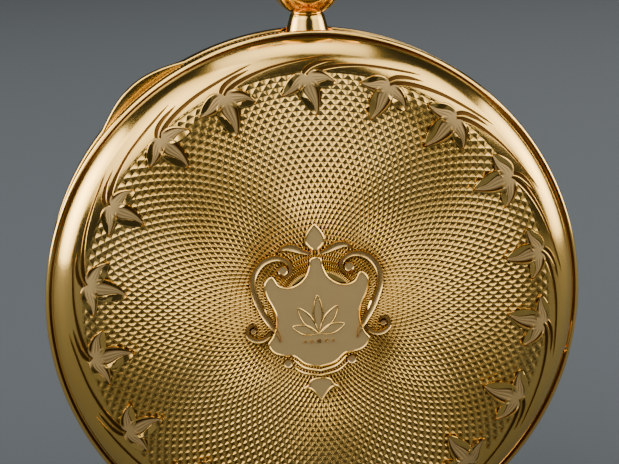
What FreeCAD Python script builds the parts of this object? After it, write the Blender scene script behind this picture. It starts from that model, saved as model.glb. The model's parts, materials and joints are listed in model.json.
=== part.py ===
"""Open-face pocket watch with a hinged, engraved back: case, pendant, dial side and movement.

Millimetres.  The pieces are drawn as the watch lies dial down on a bench: x to the right and y to
the pendant, as seen from the back, and the third number is the height above the crystal's flat
face.  place() then stands the watch up, pendant to +Z, engraved back to -Y and dial to +Y, with
the origin in the middle of the crystal's flat face.
"""
import FreeCAD
import Part
import math
import os

V = FreeCAD.Vector

# Case: radii
CASE_R = 24.7             # milled band of the case middle
BACK_RIM_R = 25.0         # bead round the back cover
BEZEL_R = 24.9
CRYSTAL_R = 20.3
CRYSTAL_FLAT_R = 18.5
DIAL_R = 21.1
PLATE_R = 21.2            # movement
BRIDGE_R = 19.9
WALL = 0.5                # sheet of the back cover

# Case: heights above the crystal's flat face
CRYSTAL_T = 1.1
BEZEL_FOOT = 5.6          # end of the bezel's skirt
CASE_FRONT = 3.4
BAND_LOW = 5.7
BAND_HIGH = 8.6
COVER_FOOT = 8.7
FIELD_EDGE = 12.2         # edge of the engine-turned field
BACK_TOP = 13.0           # middle of the back cover

# Pendant, bow and crown, along y at the stem's height
STEM_H = 6.1
PENDANT_SEAT_R = 23.4     # where the neck's foot ends inside the band
NECK_FOOT_R = 2.1
NECK_TOP_R = 1.55
NECK_TOP_Y = 26.3
BALL_Y = 29.6
BALL_R = 3.6
BALL_FLAT_X = 3.0         # flats where the bow sits
BOW_R = 7.6               # middle line of the loop
BOW_WIRE_R = 1.1
BOW_Y = BALL_Y + 7.0      # middle of the loop
EYE_X = 4.2               # middle of each bow eye
EYE_R = 1.25
EYE_END_X = 5.6           # outer face of each bow eye
CROWN_R = 3.3
CROWN_LOW = 33.1
CROWN_HIGH = 36.9
STEM_R = 0.55
STEM_END_Y = 12.6

# Hinges, drawn on the +x side parallel to y and then turned about the case's middle:
# (x, height) of each pin; the barrels' radius, how far they reach along y, and the radius
# round the pin that is kept free for what swings
HINGE_TURN = -11.0
BACK_HINGE = (24.45, 8.75)
BACK_BARREL = (0.5, 3.2, 0.85)
DUST_HINGE = (22.7, 9.05)
DUST_BARREL = (0.4, 3.5, 0.5)
BEZEL_HINGE = (24.35, 5.65)
BEZEL_BARREL = (0.45, 3.2, 0.75)
HINGE_ROOM_Y = 5.6        # how far along y the band is cut back for the swinging rims
HINGE_PIN_R = 0.25

# Thumb lip of the bezel
LIP_ANGLE = 129.0         # round from +x, towards the pendant
LIP_R = 8.5
LIP_REACH = 0.9

# Movement: heights
DISH = 4.2                # dial side of the mainplate
PLATE = 5.7               # bridge side of the mainplate
BRIDGE_LOW = 8.1
BRIDGE_HIGH = 9.0
JEWEL_R = 0.75
JEWEL_HOLE = 0.15
PIVOT_R = 0.12
ARBOR_R = 0.35

# Wheels: teeth and modules
BARREL_T, CENTRE_PINION_T, BARREL_M = 70, 10, 0.24
CENTRE_T, THIRD_PINION_T, CENTRE_M = 64, 8, 0.22
THIRD_T, FOURTH_PINION_T, THIRD_M = 60, 8, 0.19
FOURTH_T, ESCAPE_PINION_T, FOURTH_M = 70, 7, 0.15
CROWN_WHEEL_T, RATCHET_T, WINDING_M = 30, 46, 0.25
WINDING_PINION_T = 20
CANNON_T, MINUTE_WHEEL_T = 10, 30
MINUTE_PINION_T, HOUR_T = 8, 32
MOTION_M = 0.2
ESCAPE_T = 15
ESCAPE_R = 2.6


def gear_distance(teeth_a, teeth_b, module):
    """Distance between the centres of two wheels in mesh."""
    return module * (teeth_a + teeth_b) / 2


def step(start, distance, degrees):
    """The point at a distance and direction from start."""
    turn = math.radians(degrees)
    return (start[0] + distance * math.cos(turn), start[1] + distance * math.sin(turn))


def bearing(start, end):
    """Direction from start to end, in degrees."""
    return math.degrees(math.atan2(end[1] - start[1], end[0] - start[0]))


# Wheel centres
CENTRE = (0.0, 0.0)
BARREL = step(CENTRE, gear_distance(BARREL_T, CENTRE_PINION_T, BARREL_M), 40.5)
THIRD = step(CENTRE, gear_distance(CENTRE_T, THIRD_PINION_T, CENTRE_M), -54.6)
FOURTH_Y = THIRD[1] - math.sqrt(gear_distance(THIRD_T, FOURTH_PINION_T, THIRD_M) ** 2 - THIRD[0] ** 2)
FOURTH = (0.0, FOURTH_Y)
ESCAPE = step(FOURTH, gear_distance(FOURTH_T, ESCAPE_PINION_T, FOURTH_M), 203.5)
BALANCE = (-12.0, -5.0)
PALLET = step(ESCAPE, 3.55, bearing(ESCAPE, BALANCE))
CROWN_WHEEL_Y = BARREL[1] + math.sqrt(
    gear_distance(CROWN_WHEEL_T, RATCHET_T, WINDING_M) ** 2 - BARREL[0] ** 2)
CROWN_WHEEL = (0.0, CROWN_WHEEL_Y)
WINDING_Y = CROWN_WHEEL_Y + CROWN_WHEEL_T * WINDING_M / 2
MINUTE_WHEEL = step(CENTRE, gear_distance(CANNON_T, MINUTE_WHEEL_T, MOTION_M), 50)
CLICK = step(BARREL, 7.7, 55)
LEVER = (-3.2, 18.5)
BALANCE_R = 7.4


# ---------------------------------------------------------------- shapes

def disc(radius, low, high, at=CENTRE):
    """A round plate between two heights."""
    return Part.makeCylinder(radius, high - low, V(at[0], at[1], low))


def ring(inner, outer, low, high, at=CENTRE):
    """A flat ring between two heights."""
    return disc(outer, low, high, at).cut(disc(inner, low, high, at))


def block(x0, x1, y0, y1, low, high):
    """A box between two corners."""
    return Part.makeBox(x1 - x0, y1 - y0, high - low, V(x0, y0, low))


def plate(points, low, high):
    """A flat plate with straight edges."""
    corners = [V(x, y, low) for x, y in points]
    face = Part.Face(Part.makePolygon(corners + corners[:1]))
    return face.extrude(V(0, 0, high - low))


def strap(start, end, width, low, high):
    """A bar with round ends from start to end."""
    half = width / 2
    length = math.dist(start, end)
    bar = Part.makeBox(length, width, high - low, V(0, -half, low))
    bar.rotate(V(0, 0, 0), V(0, 0, 1), bearing(start, end))
    bar.translate(V(start[0], start[1], 0))
    return bar.fuse([disc(half, low, high, start), disc(half, low, high, end)]).removeSplitter()


def rod(radius, start, end):
    """A cylinder between two points."""
    run = V(*end) - V(*start)
    return Part.makeCylinder(radius, run.Length, V(*start), run)


def turned(profile, at=CENTRE):
    """A turned piece: a closed outline of (radius, height) spun round the height axis."""
    corners = [V(radius, 0, height) for radius, height in profile]
    face = Part.Face(Part.makePolygon(corners + corners[:1]))
    solid = face.revolve(V(0, 0, 0), V(0, 0, 1), 360)
    solid.translate(V(at[0], at[1], 0))
    return solid


def turned_path(path):
    """A turned piece whose outline mixes lines and curves.

    Each entry is the next point, or a pair (point that the curve bends towards, next point).
    """
    start = V(path[0][0], 0, path[0][1])
    edges = []
    for entry in path[1:] + path[:1]:
        if isinstance(entry[0], tuple):
            towards, end = [V(radius, 0, height) for radius, height in entry]
            curve = Part.BezierCurve()
            curve.setPoles([start, towards, end])
            edges.append(curve.toShape())
        else:
            end = V(entry[0], 0, entry[1])
            edges.append(Part.LineSegment(start, end).toShape())
        start = end
    return Part.Face(Part.Wire(edges)).revolve(V(0, 0, 0), V(0, 0, 1), 360)


def gear(teeth, module, low, high, at=CENTRE, tooth_at=0.0):
    """A toothed wheel with one tooth centred on the direction tooth_at."""
    pitch_r = teeth * module / 2
    tip_r = pitch_r + 0.75 * module
    root_r = pitch_r - 1.2 * module
    step_angle = 360 / teeth
    points = []
    for tooth in range(teeth):
        middle = tooth_at + tooth * step_angle
        for share, radius in ((-0.29, root_r), (-0.12, tip_r), (0.12, tip_r), (0.29, root_r)):
            points.append(step(at, radius, middle + share * step_angle))
    return plate(points, low, high)


def crossed_out(wheel, inner, outer, arms, width, low, high, at=CENTRE):
    """Cuts the windows between a wheel's spokes."""
    windows = ring(inner, outer, low, high, at)
    for arm in range(arms):
        windows = windows.cut(strap(at, step(at, outer + width, arm * 360 / arms), width, low, high))
    return wheel.cut(windows)


def spiral(inner, outer, turns, thickness, low, high, at, steps):
    """A flat coiled strip."""
    outside, inside = [], []
    for index in range(int(turns * steps) + 1):
        radius = inner + (outer - inner) * index / (turns * steps)
        outside.append(step(at, radius + thickness / 2, index * 360 / steps))
        inside.append(step(at, radius - thickness / 2, index * 360 / steps))
    return plate(outside + inside[::-1], low, high)


def arbor(at, low=PLATE + 0.05, high=BRIDGE_LOW - 0.05, radius=ARBOR_R, reach=0.6):
    """A staff with a fine pivot at each end."""
    staff = disc(radius, low, high, at)
    return staff.fuse(disc(PIVOT_R, low - reach, high + reach, at)).removeSplitter()


def screw(at, low, seat, head_r=0.85, head_t=0.35, shank_r=0.4):
    """A slotted screw: shank from low to seat, head above the seat."""
    body = disc(shank_r, low, seat, at).fuse(disc(head_r, seat, seat + head_t, at))
    slot = block(at[0] - head_r, at[0] + head_r, at[1] - 0.09, at[1] + 0.09,
                 seat + head_t * 0.55, seat + head_t)
    return body.cut(slot).removeSplitter()


def to_hinge(shape):
    """Turns what was drawn on the +x side round to where the hinges are."""
    shape.rotate(V(0, 0, 0), V(0, 0, 1), HINGE_TURN)
    return shape


def knuckles(hinge, radius, spans):
    """Hinge barrels along y, one for each (low y, high y)."""
    x, height = hinge
    return [rod(radius, (x, low, height), (x, high, height)) for low, high in spans]


# ---------------------------------------------------------------- case

def pendant_body():
    """Neck and ball, without their bores."""
    neck = Part.makeCone(NECK_FOOT_R + 0.1, NECK_TOP_R, NECK_TOP_Y - 23.0 + 0.6,
                         V(0, 23.0, STEM_H), V(0, 1, 0))
    ball = Part.makeSphere(BALL_R, V(0, BALL_Y, STEM_H))
    flats = block(-BALL_FLAT_X, BALL_FLAT_X, BALL_Y - 4, BALL_Y + 4, STEM_H - 4, STEM_H + 4)
    return neck.fuse(ball.common(flats)).removeSplitter()


def pendant():
    """Neck and ball with the stem's bore and the bow screws' holes."""
    body = pendant_body().cut(disc(PENDANT_SEAT_R, 0, 13))
    body = body.cut(rod(0.95, (0, 22, STEM_H), (0, 35, STEM_H)))
    body = body.cut(rod(1.4, (0, BALL_Y + 0.6, STEM_H), (0, 35, STEM_H)))
    return body.cut(rod(0.55, (-5, BALL_Y, STEM_H), (5, BALL_Y, STEM_H)))


def case_middle():
    """The milled band: an outer wall, flanges for bezel, movement and back, and hinge barrels."""
    wall = 23.3
    skirt = 23.8
    band = turned([(CASE_R, BAND_LOW), (CASE_R, BAND_HIGH), (21.3, BAND_HIGH), (21.3, 7.9),
                   (wall, 7.9), (wall, 6.4), (20.0, 6.4), (20.0, PLATE), (wall, PLATE), (wall, DISH),
                   (21.45, DISH), (21.45, CASE_FRONT), (skirt, CASE_FRONT), (skirt, BAND_LOW)])
    outer_hinges = ((BACK_HINGE, BACK_BARREL), (BEZEL_HINGE, BEZEL_BARREL))
    for hinge, (radius, _, swing) in outer_hinges:
        band = band.cut(knuckles(hinge, swing + 0.05, [(-HINGE_ROOM_Y, -1.5), (1.5, HINGE_ROOM_Y)]))
        band = band.fuse(knuckles(hinge, radius, [(-1.5, 1.5)]))
    dust_lug = block(22.4, 23.0, -1.2, 1.2, BAND_HIGH - 0.3, DUST_HINGE[1])
    band = band.fuse([dust_lug] + knuckles(DUST_HINGE, DUST_BARREL[0], [(-1.2, 1.2)]))
    for x, height in (BACK_HINGE, DUST_HINGE, BEZEL_HINGE):
        band = band.cut(rod(HINGE_PIN_R, (x, -6, height), (x, 6, height)))
    band = to_hinge(band).cut(pendant_body())
    return band.cut(rod(0.75, (0, 19, STEM_H), (0, 24, STEM_H))).removeSplitter()


def hinge_pin(hinge, barrel):
    """A plain pin through one hinge."""
    x, height = hinge
    return to_hinge(rod(HINGE_PIN_R, (x, -barrel[1], height), (x, barrel[1], height)))


def hinged(shell, hinge, barrel, lug):
    """Adds a cover's two hinge barrels, and cuts its rim free of the case's barrel.

    barrel is (radius, reach along y, radius kept free), and lug how far the tongue behind each
    barrel goes in.
    """
    x, height = hinge
    radius, reach, swing = barrel
    for low, high in ((-reach, -1.6), (1.6, reach)):
        tongue = block(x - lug, x, low, high, height - radius * 0.5, height + radius * 0.5)
        shell = shell.fuse(knuckles(hinge, radius, [(low, high)]) + [tongue])
    shell = shell.cut(rod(swing, (x, -1.6, height), (x, 1.6, height)))
    bore = rod(HINGE_PIN_R + 0.03, (x, -reach - 1, height), (x, reach + 1, height))
    return to_hinge(shell.cut(bore))


def back_cover():
    """The domed engraved back: field, polished shoulder, groove and bead, with its hinge barrels."""
    inner = FIELD_EDGE - WALL
    shell = turned_path([
        (0, BACK_TOP), ((10.3, BACK_TOP), (20.5, FIELD_EDGE)), ((23.8, 11.9), (24.3, 9.75)),
        (24.15, 9.55), (24.6, 9.5), ((2 * BACK_RIM_R - 24.6, 9.1), (24.6, COVER_FOOT)),
        (23.9, COVER_FOOT), (23.8, 9.6), ((23.3, 11.5), (20.3, inner)),
        ((10.2, BACK_TOP - WALL), (0, BACK_TOP - WALL))])
    return hinged(shell, BACK_HINGE, BACK_BARREL, 0.5)


def dust_cover():
    """The inner cover over the movement."""
    shell = turned_path([
        (0, 10.4), ((10.5, 10.4), (20.4, 10.2)), ((21.5, 10.2), (21.6, 9.2)), (22.45, 9.1),
        (22.45, 8.75), (21.3, 8.75), ((21.2, 9.85), (20.2, 9.85)), ((10.4, 10.05), (0, 10.05))])
    return hinged(shell, DUST_HINGE, DUST_BARREL, 1.2)


def bezel():
    """The ring that holds the crystal, with its thumb lip and hinge barrels."""
    shell = turned_path([
        (19.6, CRYSTAL_T), (CRYSTAL_R, CRYSTAL_T), (CRYSTAL_R, 0.75), (20.8, 0.7),
        ((24.7, 1.2), (BEZEL_R, 4.4)), (BEZEL_R, 5.3), (24.7, BEZEL_FOOT), (24.05, BEZEL_FOOT),
        (24.05, 3.3), (21.7, 3.3), (21.7, 2.3), (19.6, 2.3)])
    shell = hinged(shell, BEZEL_HINGE, BEZEL_BARREL, 0.4)
    middle = step(CENTRE, BEZEL_R + LIP_REACH - LIP_R, LIP_ANGLE)
    lip = Part.makeCone(LIP_R - 0.6, LIP_R, 1.0, V(middle[0], middle[1], 4.4))
    lip = lip.cut(disc(BEZEL_R - 0.6, 0, BEZEL_FOOT))
    neck_room = rod(NECK_FOOT_R + 0.3, (0, 20, STEM_H), (0, 30, STEM_H))
    return shell.fuse(lip).cut(neck_room).removeSplitter()


def crystal():
    """Flat mineral glass with a bevelled edge."""
    return turned([(0, 0), (CRYSTAL_FLAT_R, 0), (CRYSTAL_R, 0.75), (CRYSTAL_R, CRYSTAL_T), (0, CRYSTAL_T)])


def bow():
    """The loop: round wire that ends in two eyes beside the ball."""
    sweep_end = math.degrees(math.acos((EYE_X + 0.25) / BOW_R))
    tube = Part.makeTorus(BOW_R, BOW_WIRE_R, V(0, BOW_Y, STEM_H), V(0, 0, 1))
    gap_y = BOW_Y - BOW_R * math.sin(math.radians(sweep_end))
    loop = tube.cut(block(-EYE_X - 0.2, EYE_X + 0.2, BALL_Y - 6, gap_y + 1.2, 0, 12))
    pieces = []
    for side in (-1, 1):
        root = (side * (EYE_X + 0.1), BALL_Y, STEM_H)
        top = (side * (EYE_X + 0.55), gap_y + 0.35, STEM_H)
        pieces.append(rod(0.95, root, top))
        pieces.append(Part.makeSphere(0.95, V(*top)))
        pieces.append(rod(EYE_R, (side * 3.1, BALL_Y, STEM_H), (side * EYE_END_X, BALL_Y, STEM_H)))
    loop = loop.fuse(pieces)
    for side in (-1, 1):
        loop = loop.cut(rod(1.1, (side * EYE_END_X, BALL_Y, STEM_H), (side * 8, BALL_Y, STEM_H)))
    loop = loop.cut(block(-3.1, 3.1, BALL_Y - 5, BALL_Y + 3.4, 0, 12))
    return loop.cut(rod(0.6, (-6, BALL_Y, STEM_H), (6, BALL_Y, STEM_H))).removeSplitter()


def bow_screws():
    """The two screws that the bow turns on."""
    screws = []
    for side in (-1, 1):
        seat, top = side * (EYE_END_X + 0.05), side * (EYE_END_X + 0.45)
        shank = rod(0.55, (side * 1.6, BALL_Y, STEM_H), (seat, BALL_Y, STEM_H))
        head = rod(0.95, (seat, BALL_Y, STEM_H), (top, BALL_Y, STEM_H))
        slot = block(min(seat + side * 0.2, top), max(seat + side * 0.2, top),
                     BALL_Y - 1, BALL_Y + 1, STEM_H - 0.1, STEM_H + 0.1)
        screws.append(shank.fuse(head).cut(slot).removeSplitter())
    return Part.makeCompound(screws)


def crown():
    """The fluted winding crown with its sleeve."""
    flutes = 36
    points = []
    for flute in range(flutes):
        for share, radius in ((-0.3, CROWN_R), (0.3, CROWN_R), (0.5, CROWN_R - 0.22)):
            points.append(step(CENTRE, radius, (flute + share) * 360 / flutes))
    height = CROWN_HIGH - CROWN_LOW
    knob = turned_path([(0, 0), (CROWN_R - 0.5, 0), ((CROWN_R, 0), (CROWN_R, 0.8)),
                        (CROWN_R, height - 1.3), ((CROWN_R, height), (CROWN_R - 1.3, height)), (0, height)])
    knob = knob.common(plate(points, 0, height))
    knob.rotate(V(0, 0, 0), V(1, 0, 0), -90)
    knob.translate(V(0, CROWN_LOW, STEM_H))
    knob = knob.fuse(rod(1.35, (0, BALL_Y + 0.9, STEM_H), (0, CROWN_LOW + 0.5, STEM_H)))
    return knob.cut(rod(STEM_R, (0, BALL_Y, STEM_H), (0, CROWN_LOW + 1.5, STEM_H))).removeSplitter()


def winding_stem():
    """The stem, with the groove that the setting lever's pin sits in."""
    stem = rod(STEM_R, (0, STEM_END_Y, STEM_H), (0, CROWN_LOW + 1.5, STEM_H))
    groove = rod(STEM_R + 0.1, (0, LEVER[1] - 0.35, STEM_H), (0, LEVER[1] + 0.35, STEM_H))
    return stem.cut(groove.cut(rod(0.3, (0, 12, STEM_H), (0, 30, STEM_H))))


# ---------------------------------------------------------------- dial side

def dial():
    """Enamel dial with feet, a hole for the hands and a sunk seat for the seconds dial."""
    body = disc(DIAL_R, 2.6, 3.1).cut(disc(1.3, 2.6, 3.1)).cut(disc(4.6, 2.6, 3.1, FOURTH))
    return body.fuse([disc(0.4, 3.1, 5.0, step(CENTRE, 17.5, turn)) for turn in (35, 165, 310)])


def seconds_dial():
    """The sunk subsidiary dial."""
    return ring(0.3, 4.6, 2.85, 3.1, FOURTH)


def hand(at, length, tail, width, boss_r, bore_r, low, high, turn):
    """A pointed hand that lies along +y before it is turned."""
    tip = plate([(at[0] - width / 2, at[1]), (at[0] + width / 2, at[1]), (at[0] + width * 0.35, at[1] + length * 0.8),
                 (at[0], at[1] + length), (at[0] - width * 0.35, at[1] + length * 0.8)], low, high)
    parts = [disc(boss_r, low, high, at)]
    if tail:
        parts.append(block(at[0] - width / 3, at[0] + width / 3, at[1] - tail, at[1], low, high))
    shape = tip.fuse(parts).cut(disc(bore_r, low - 1, high + 1, at)).removeSplitter()
    shape.rotate(V(at[0], at[1], 0), V(0, 0, 1), turn)
    return shape


def cannon_pinion():
    """Pinion and pipe that carry the minute hand."""
    teeth = gear(CANNON_T, MOTION_M, 3.75, 4.1, CENTRE, bearing(CENTRE, MINUTE_WHEEL) + 180 / CANNON_T)
    return teeth.fuse(disc(0.68, 1.5, 3.9)).cut(disc(ARBOR_R + 0.03, 1.4, 4.3)).removeSplitter()


def hour_wheel():
    """Wheel and pipe that carry the hour hand."""
    teeth = gear(HOUR_T, MOTION_M, 3.35, 3.6, CENTRE, bearing(CENTRE, MINUTE_WHEEL) + 180 / HOUR_T)
    return teeth.fuse(disc(1.05, 1.95, 3.5)).cut(disc(0.74, 1.9, 3.7)).removeSplitter()


def minute_wheel():
    """Wheel and pinion between the cannon pinion and the hour wheel, with its post."""
    back = bearing(MINUTE_WHEEL, CENTRE)
    wheel = gear(MINUTE_WHEEL_T, MOTION_M, 3.8, 4.05, MINUTE_WHEEL, back)
    pinion = gear(MINUTE_PINION_T, MOTION_M, 3.25, 3.9, MINUTE_WHEEL, back)
    return wheel.fuse([pinion, disc(0.3, 3.9, 4.9, MINUTE_WHEEL)]).removeSplitter()


# ---------------------------------------------------------------- movement frame

def bridge_screw_spots():
    """Screw places on the bridges and the cock."""
    spots = [step(CENTRE, 19.0, turn) for turn in (22, 70, 112, 143, -22, -60, -106)]
    return spots + [(-13.2, 7.0)]


def sector_foot(inner, start, end, low, high):
    """A foot that follows the movement's edge between two directions."""
    wedge_r = BRIDGE_R * 2
    wedge = plate([CENTRE, step(CENTRE, wedge_r, start), step(CENTRE, wedge_r, (start + end) / 2),
                   step(CENTRE, wedge_r, end)], low, high)
    return ring(inner, BRIDGE_R, low, high).common(wedge)


def pierced(body, jewels):
    """Cuts a bridge's jewel seats and its screw holes."""
    for at in jewels:
        body = body.cut(disc(JEWEL_R, PLATE, BRIDGE_HIGH + 1, at))
    for at in bridge_screw_spots():
        body = body.cut(disc(0.4, PLATE - 1, BRIDGE_HIGH + 1, at))
    return body.removeSplitter()


def mainplate():
    """The dished plate that everything in the movement is built on."""
    body = turned([(0, DISH), (20.3, DISH), (20.3, 3.1), (PLATE_R, 3.1), (PLATE_R, PLATE), (0, PLATE)])
    body = body.cut(block(-2.6, 2.6, WINDING_Y - 1.15, WINDING_Y + 1.15, 3, 6))
    body = body.cut(block(-1.85, 1.85, STEM_END_Y + 0.2, WINDING_Y, 3, 6))
    body = body.cut(rod(0.65, (0, STEM_END_Y - 0.2, STEM_H), (0, 22, STEM_H)))
    body = body.cut(block(-0.5, 0.4, LEVER[1] - 0.45, LEVER[1] + 1.35, 3.2, 6))
    for turn in (35, 165, 310):
        body = body.cut(disc(0.4, 3, 5.0, step(CENTRE, 17.5, turn)))
    for at in bridge_screw_spots() + case_screw_spots():
        body = body.cut(disc(0.4, 4.8, 6, at))
    for at in (THIRD, ESCAPE, PALLET, BALANCE):
        body = body.cut(disc(JEWEL_R, 4.9, 6, at))
    body = body.cut(disc(JEWEL_R, 4, 6, FOURTH)).cut(disc(ARBOR_R + 0.05, 4, 6))
    body = body.cut(disc(0.35, 4, 5, MINUTE_WHEEL)).cut(disc(0.4, 4, 5.2, LEVER))
    return body.cut(disc(0.85, PLATE - 0.5, 6, BARREL)).removeSplitter()


def barrel_bridge():
    """Bridge over the barrel, the stem and the centre wheel, sunk for the winding wheels."""
    outline = plate([(-4.0, -2.0), (21, -2.0), (21, 21), (-21, 21), (-21, 10.2), (-8.4, 10.2), (-4.0, 3.0)],
                    BRIDGE_LOW, BRIDGE_HIGH)
    top = disc(BRIDGE_R, BRIDGE_LOW, BRIDGE_HIGH).common(outline)
    feet = [sector_foot(18.7, 14, 80, PLATE, BRIDGE_LOW), sector_foot(18.0, 101, 147, PLATE, BRIDGE_LOW)]
    body = top.fuse(feet)
    body = body.cut(disc(4.15, BRIDGE_HIGH - 0.5, 10, CROWN_WHEEL)).cut(disc(6.2, BRIDGE_HIGH - 0.5, 10, BARREL))
    body = body.cut(disc(2.3, BRIDGE_HIGH - 0.5, 10, CLICK)).cut(disc(0.9, 8, 10, BARREL))
    body = body.cut(block(-2.6, 2.6, WINDING_Y - 1.15, WINDING_Y + 1.15, 8, BRIDGE_HIGH - 0.45))
    body = body.cut(disc(0.4, 8, 10, CROWN_WHEEL)).cut(disc(0.3, 8, 10, CLICK))
    return pierced(body, [CENTRE])


def train_bridge():
    """Bridge over the third, fourth and escape wheels."""
    outline = plate([(-3.0, -2.4), (21, -2.4), (21, -21), (-9.5, -21), (-8.0, -12.6), (-3.6, -9.4)],
                    BRIDGE_LOW, BRIDGE_HIGH)
    top = disc(BRIDGE_R, BRIDGE_LOW, BRIDGE_HIGH).common(outline).cut(disc(8.6, 8, 10, BALANCE))
    feet = [sector_foot(17.6, -72, -12, PLATE, BRIDGE_LOW), sector_foot(18.0, -112, -101, PLATE, BRIDGE_LOW)]
    return pierced(top.fuse(feet), [THIRD, FOURTH, ESCAPE])


def balance_cock():
    """The cock that holds the balance's upper pivot."""
    arm = strap(BALANCE, (-12.6, 6.4), 4.0, BRIDGE_LOW, BRIDGE_HIGH)
    foot = plate([(-17.6, 4.4), (-9.6, 4.4), (-9.6, 9.4), (-17.0, 9.4)], PLATE, BRIDGE_HIGH)
    return pierced(arm.fuse(foot), [BALANCE])


def pallet_bridge():
    """The small bridge over the pallet fork."""
    across = bearing(ESCAPE, BALANCE) + 90
    ends = [step(PALLET, 2.9, across), step(PALLET, 2.9, across + 180)]
    top = strap(ends[0], ends[1], 1.4, 6.6, 6.85)
    feet = [disc(0.7, PLATE, 6.6, at) for at in ends]
    return top.fuse(feet).cut(disc(JEWEL_HOLE, 6.5, 7, PALLET)).removeSplitter()


def bridge_screws():
    """Screws that hold the bridges and the cock."""
    return Part.makeCompound([screw(at, 4.9, BRIDGE_HIGH) for at in bridge_screw_spots()])


def case_screw_spots():
    """Screws at the movement's edge whose heads lap over the case's flange."""
    return [step(CENTRE, 19.35, turn) for turn in (2.5, 177)]


def case_screws():
    """Screws that hold the movement in the case."""
    return Part.makeCompound([screw(at, 4.9, 6.4, 0.9, 0.4) for at in case_screw_spots()])


def jewel(at, low, high):
    """A pierced ruby."""
    return ring(JEWEL_HOLE, JEWEL_R, low, high, at)


def bridge_jewels():
    """Rubies in the bridges and the cock."""
    spots = (CENTRE, THIRD, FOURTH, ESCAPE, BALANCE)
    return Part.makeCompound([jewel(at, 8.3, 8.75) for at in spots])


def plate_jewels():
    """Rubies in the mainplate."""
    rubies = [jewel(at, 4.9, 5.5) for at in (THIRD, ESCAPE, PALLET, BALANCE)]
    rubies.append(ring(0.2, JEWEL_R, 4.9, 5.5, FOURTH))
    return Part.makeCompound(rubies)


# ---------------------------------------------------------------- going train

def barrel_drum():
    """Toothed barrel, open towards the bridge."""
    to_centre = bearing(BARREL, CENTRE)
    wheel = gear(BARREL_T, BARREL_M, 6.75, 7.2, BARREL, to_centre)
    drum = wheel.fuse(disc(7.9, 6.75, 7.85, BARREL))
    return drum.cut(disc(7.5, 7.0, 8, BARREL)).cut(disc(0.7, 6, 8, BARREL)).removeSplitter()


def barrel_lid():
    """Snap lid of the barrel."""
    return ring(0.7, 7.9, 7.85, 8.02, BARREL)


def barrel_arbor():
    """Arbor that the mainspring hooks on, turned by the ratchet wheel."""
    lower = disc(0.8, PLATE - 0.45, 6.6, BARREL).fuse(disc(0.65, 6.5, 8.1, BARREL))
    core = disc(1.5, 7.05, 7.8, BARREL)
    return lower.fuse([core, disc(0.8, 8.06, 8.55, BARREL), disc(0.5, 8.5, 9.0, BARREL)]).removeSplitter()


def mainspring():
    """Coiled steel strip in the barrel."""
    return spiral(1.7, 7.3, 7, 0.3, 7.1, 7.75, BARREL, 24)


def going_wheel(teeth, module, low, high, at, tooth_at, arms):
    """A crossed-out wheel of the train."""
    root = teeth * module / 2 - 1.2 * module
    wheel = gear(teeth, module, low, high, at, tooth_at)
    wheel = crossed_out(wheel, 1.25, root - 0.75, arms, 0.7, low, high, at)
    return wheel.cut(disc(ARBOR_R, low, high, at))


def centre_arbor():
    """Centre pinion and staff, long enough for the cannon pinion."""
    staff = disc(ARBOR_R, 1.45, BRIDGE_LOW - 0.05).fuse(disc(PIVOT_R, 8.0, 8.65))
    pinion = gear(CENTRE_PINION_T, BARREL_M, 6.2, 7.35, CENTRE,
                  bearing(CENTRE, BARREL) + 180 / CENTRE_PINION_T)
    return staff.fuse(pinion).removeSplitter()


def pinion_arbor(at, teeth, module, low, high, mesh_with):
    """A staff with a pinion that has a gap towards the wheel that drives it."""
    pinion = gear(teeth, module, low, high, at, bearing(at, mesh_with) + 180 / teeth)
    return arbor(at).fuse(pinion).removeSplitter()


def fourth_arbor():
    """Fourth pinion and staff, long enough for the seconds hand."""
    staff = pinion_arbor(FOURTH, FOURTH_PINION_T, THIRD_M, 6.1, 6.7, THIRD)
    return staff.fuse(disc(0.15, 2.15, 5.8, FOURTH)).removeSplitter()


def escape_wheel():
    """Club-toothed escape wheel."""
    points = []
    for tooth in range(ESCAPE_T):
        middle = tooth * 360 / ESCAPE_T
        for share, radius in ((-6.5, ESCAPE_R - 0.75), (-1.0, ESCAPE_R - 0.1), (1.6, ESCAPE_R), (2.4, ESCAPE_R - 0.3),
                              (0.6, ESCAPE_R - 0.75)):
            points.append(step(ESCAPE, radius, middle + share))
    wheel = crossed_out(plate(points, 6.2, 6.4), 0.7, ESCAPE_R - 1.1, 4, 0.35, 6.2, 6.4, ESCAPE)
    return wheel.cut(disc(ARBOR_R, 6, 7, ESCAPE))


def pallet_fork():
    """Lever with two arms for the stones, a forked end at the roller, and its staff."""
    ahead = bearing(PALLET, BALANCE)
    low, high = 6.15, 6.4
    fork_end = step(PALLET, 4.7, ahead)
    body = strap(PALLET, fork_end, 0.55, low, high)
    for side in (-1, 1):
        body = body.fuse(strap(PALLET, step(PALLET, 1.9, ahead + side * 112), 0.5, low, high))
        horn = step(fork_end, 0.5, ahead + side * 90)
        body = body.fuse(strap(horn, step(horn, 0.9, ahead), 0.3, low, high))
        body = body.fuse(strap(fork_end, horn, 0.35, low, high))
    staff = disc(0.3, PLATE + 0.05, 6.5, PALLET).fuse(disc(PIVOT_R, 5.2, 6.85, PALLET))
    return body.fuse(staff).removeSplitter()


def pallet_stones():
    """Two ruby stones, gripped at the ends of the fork's arms and clear of the wheel."""
    ahead = bearing(PALLET, BALANCE)
    stones = []
    for side in (-1, 1):
        root = step(PALLET, 1.9, ahead + side * 112)
        stones.append(strap(root, step(root, 0.25, ahead + 180), 0.4, 6.4, 6.5))
    return Part.makeCompound(stones)


# ---------------------------------------------------------------- balance

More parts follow.
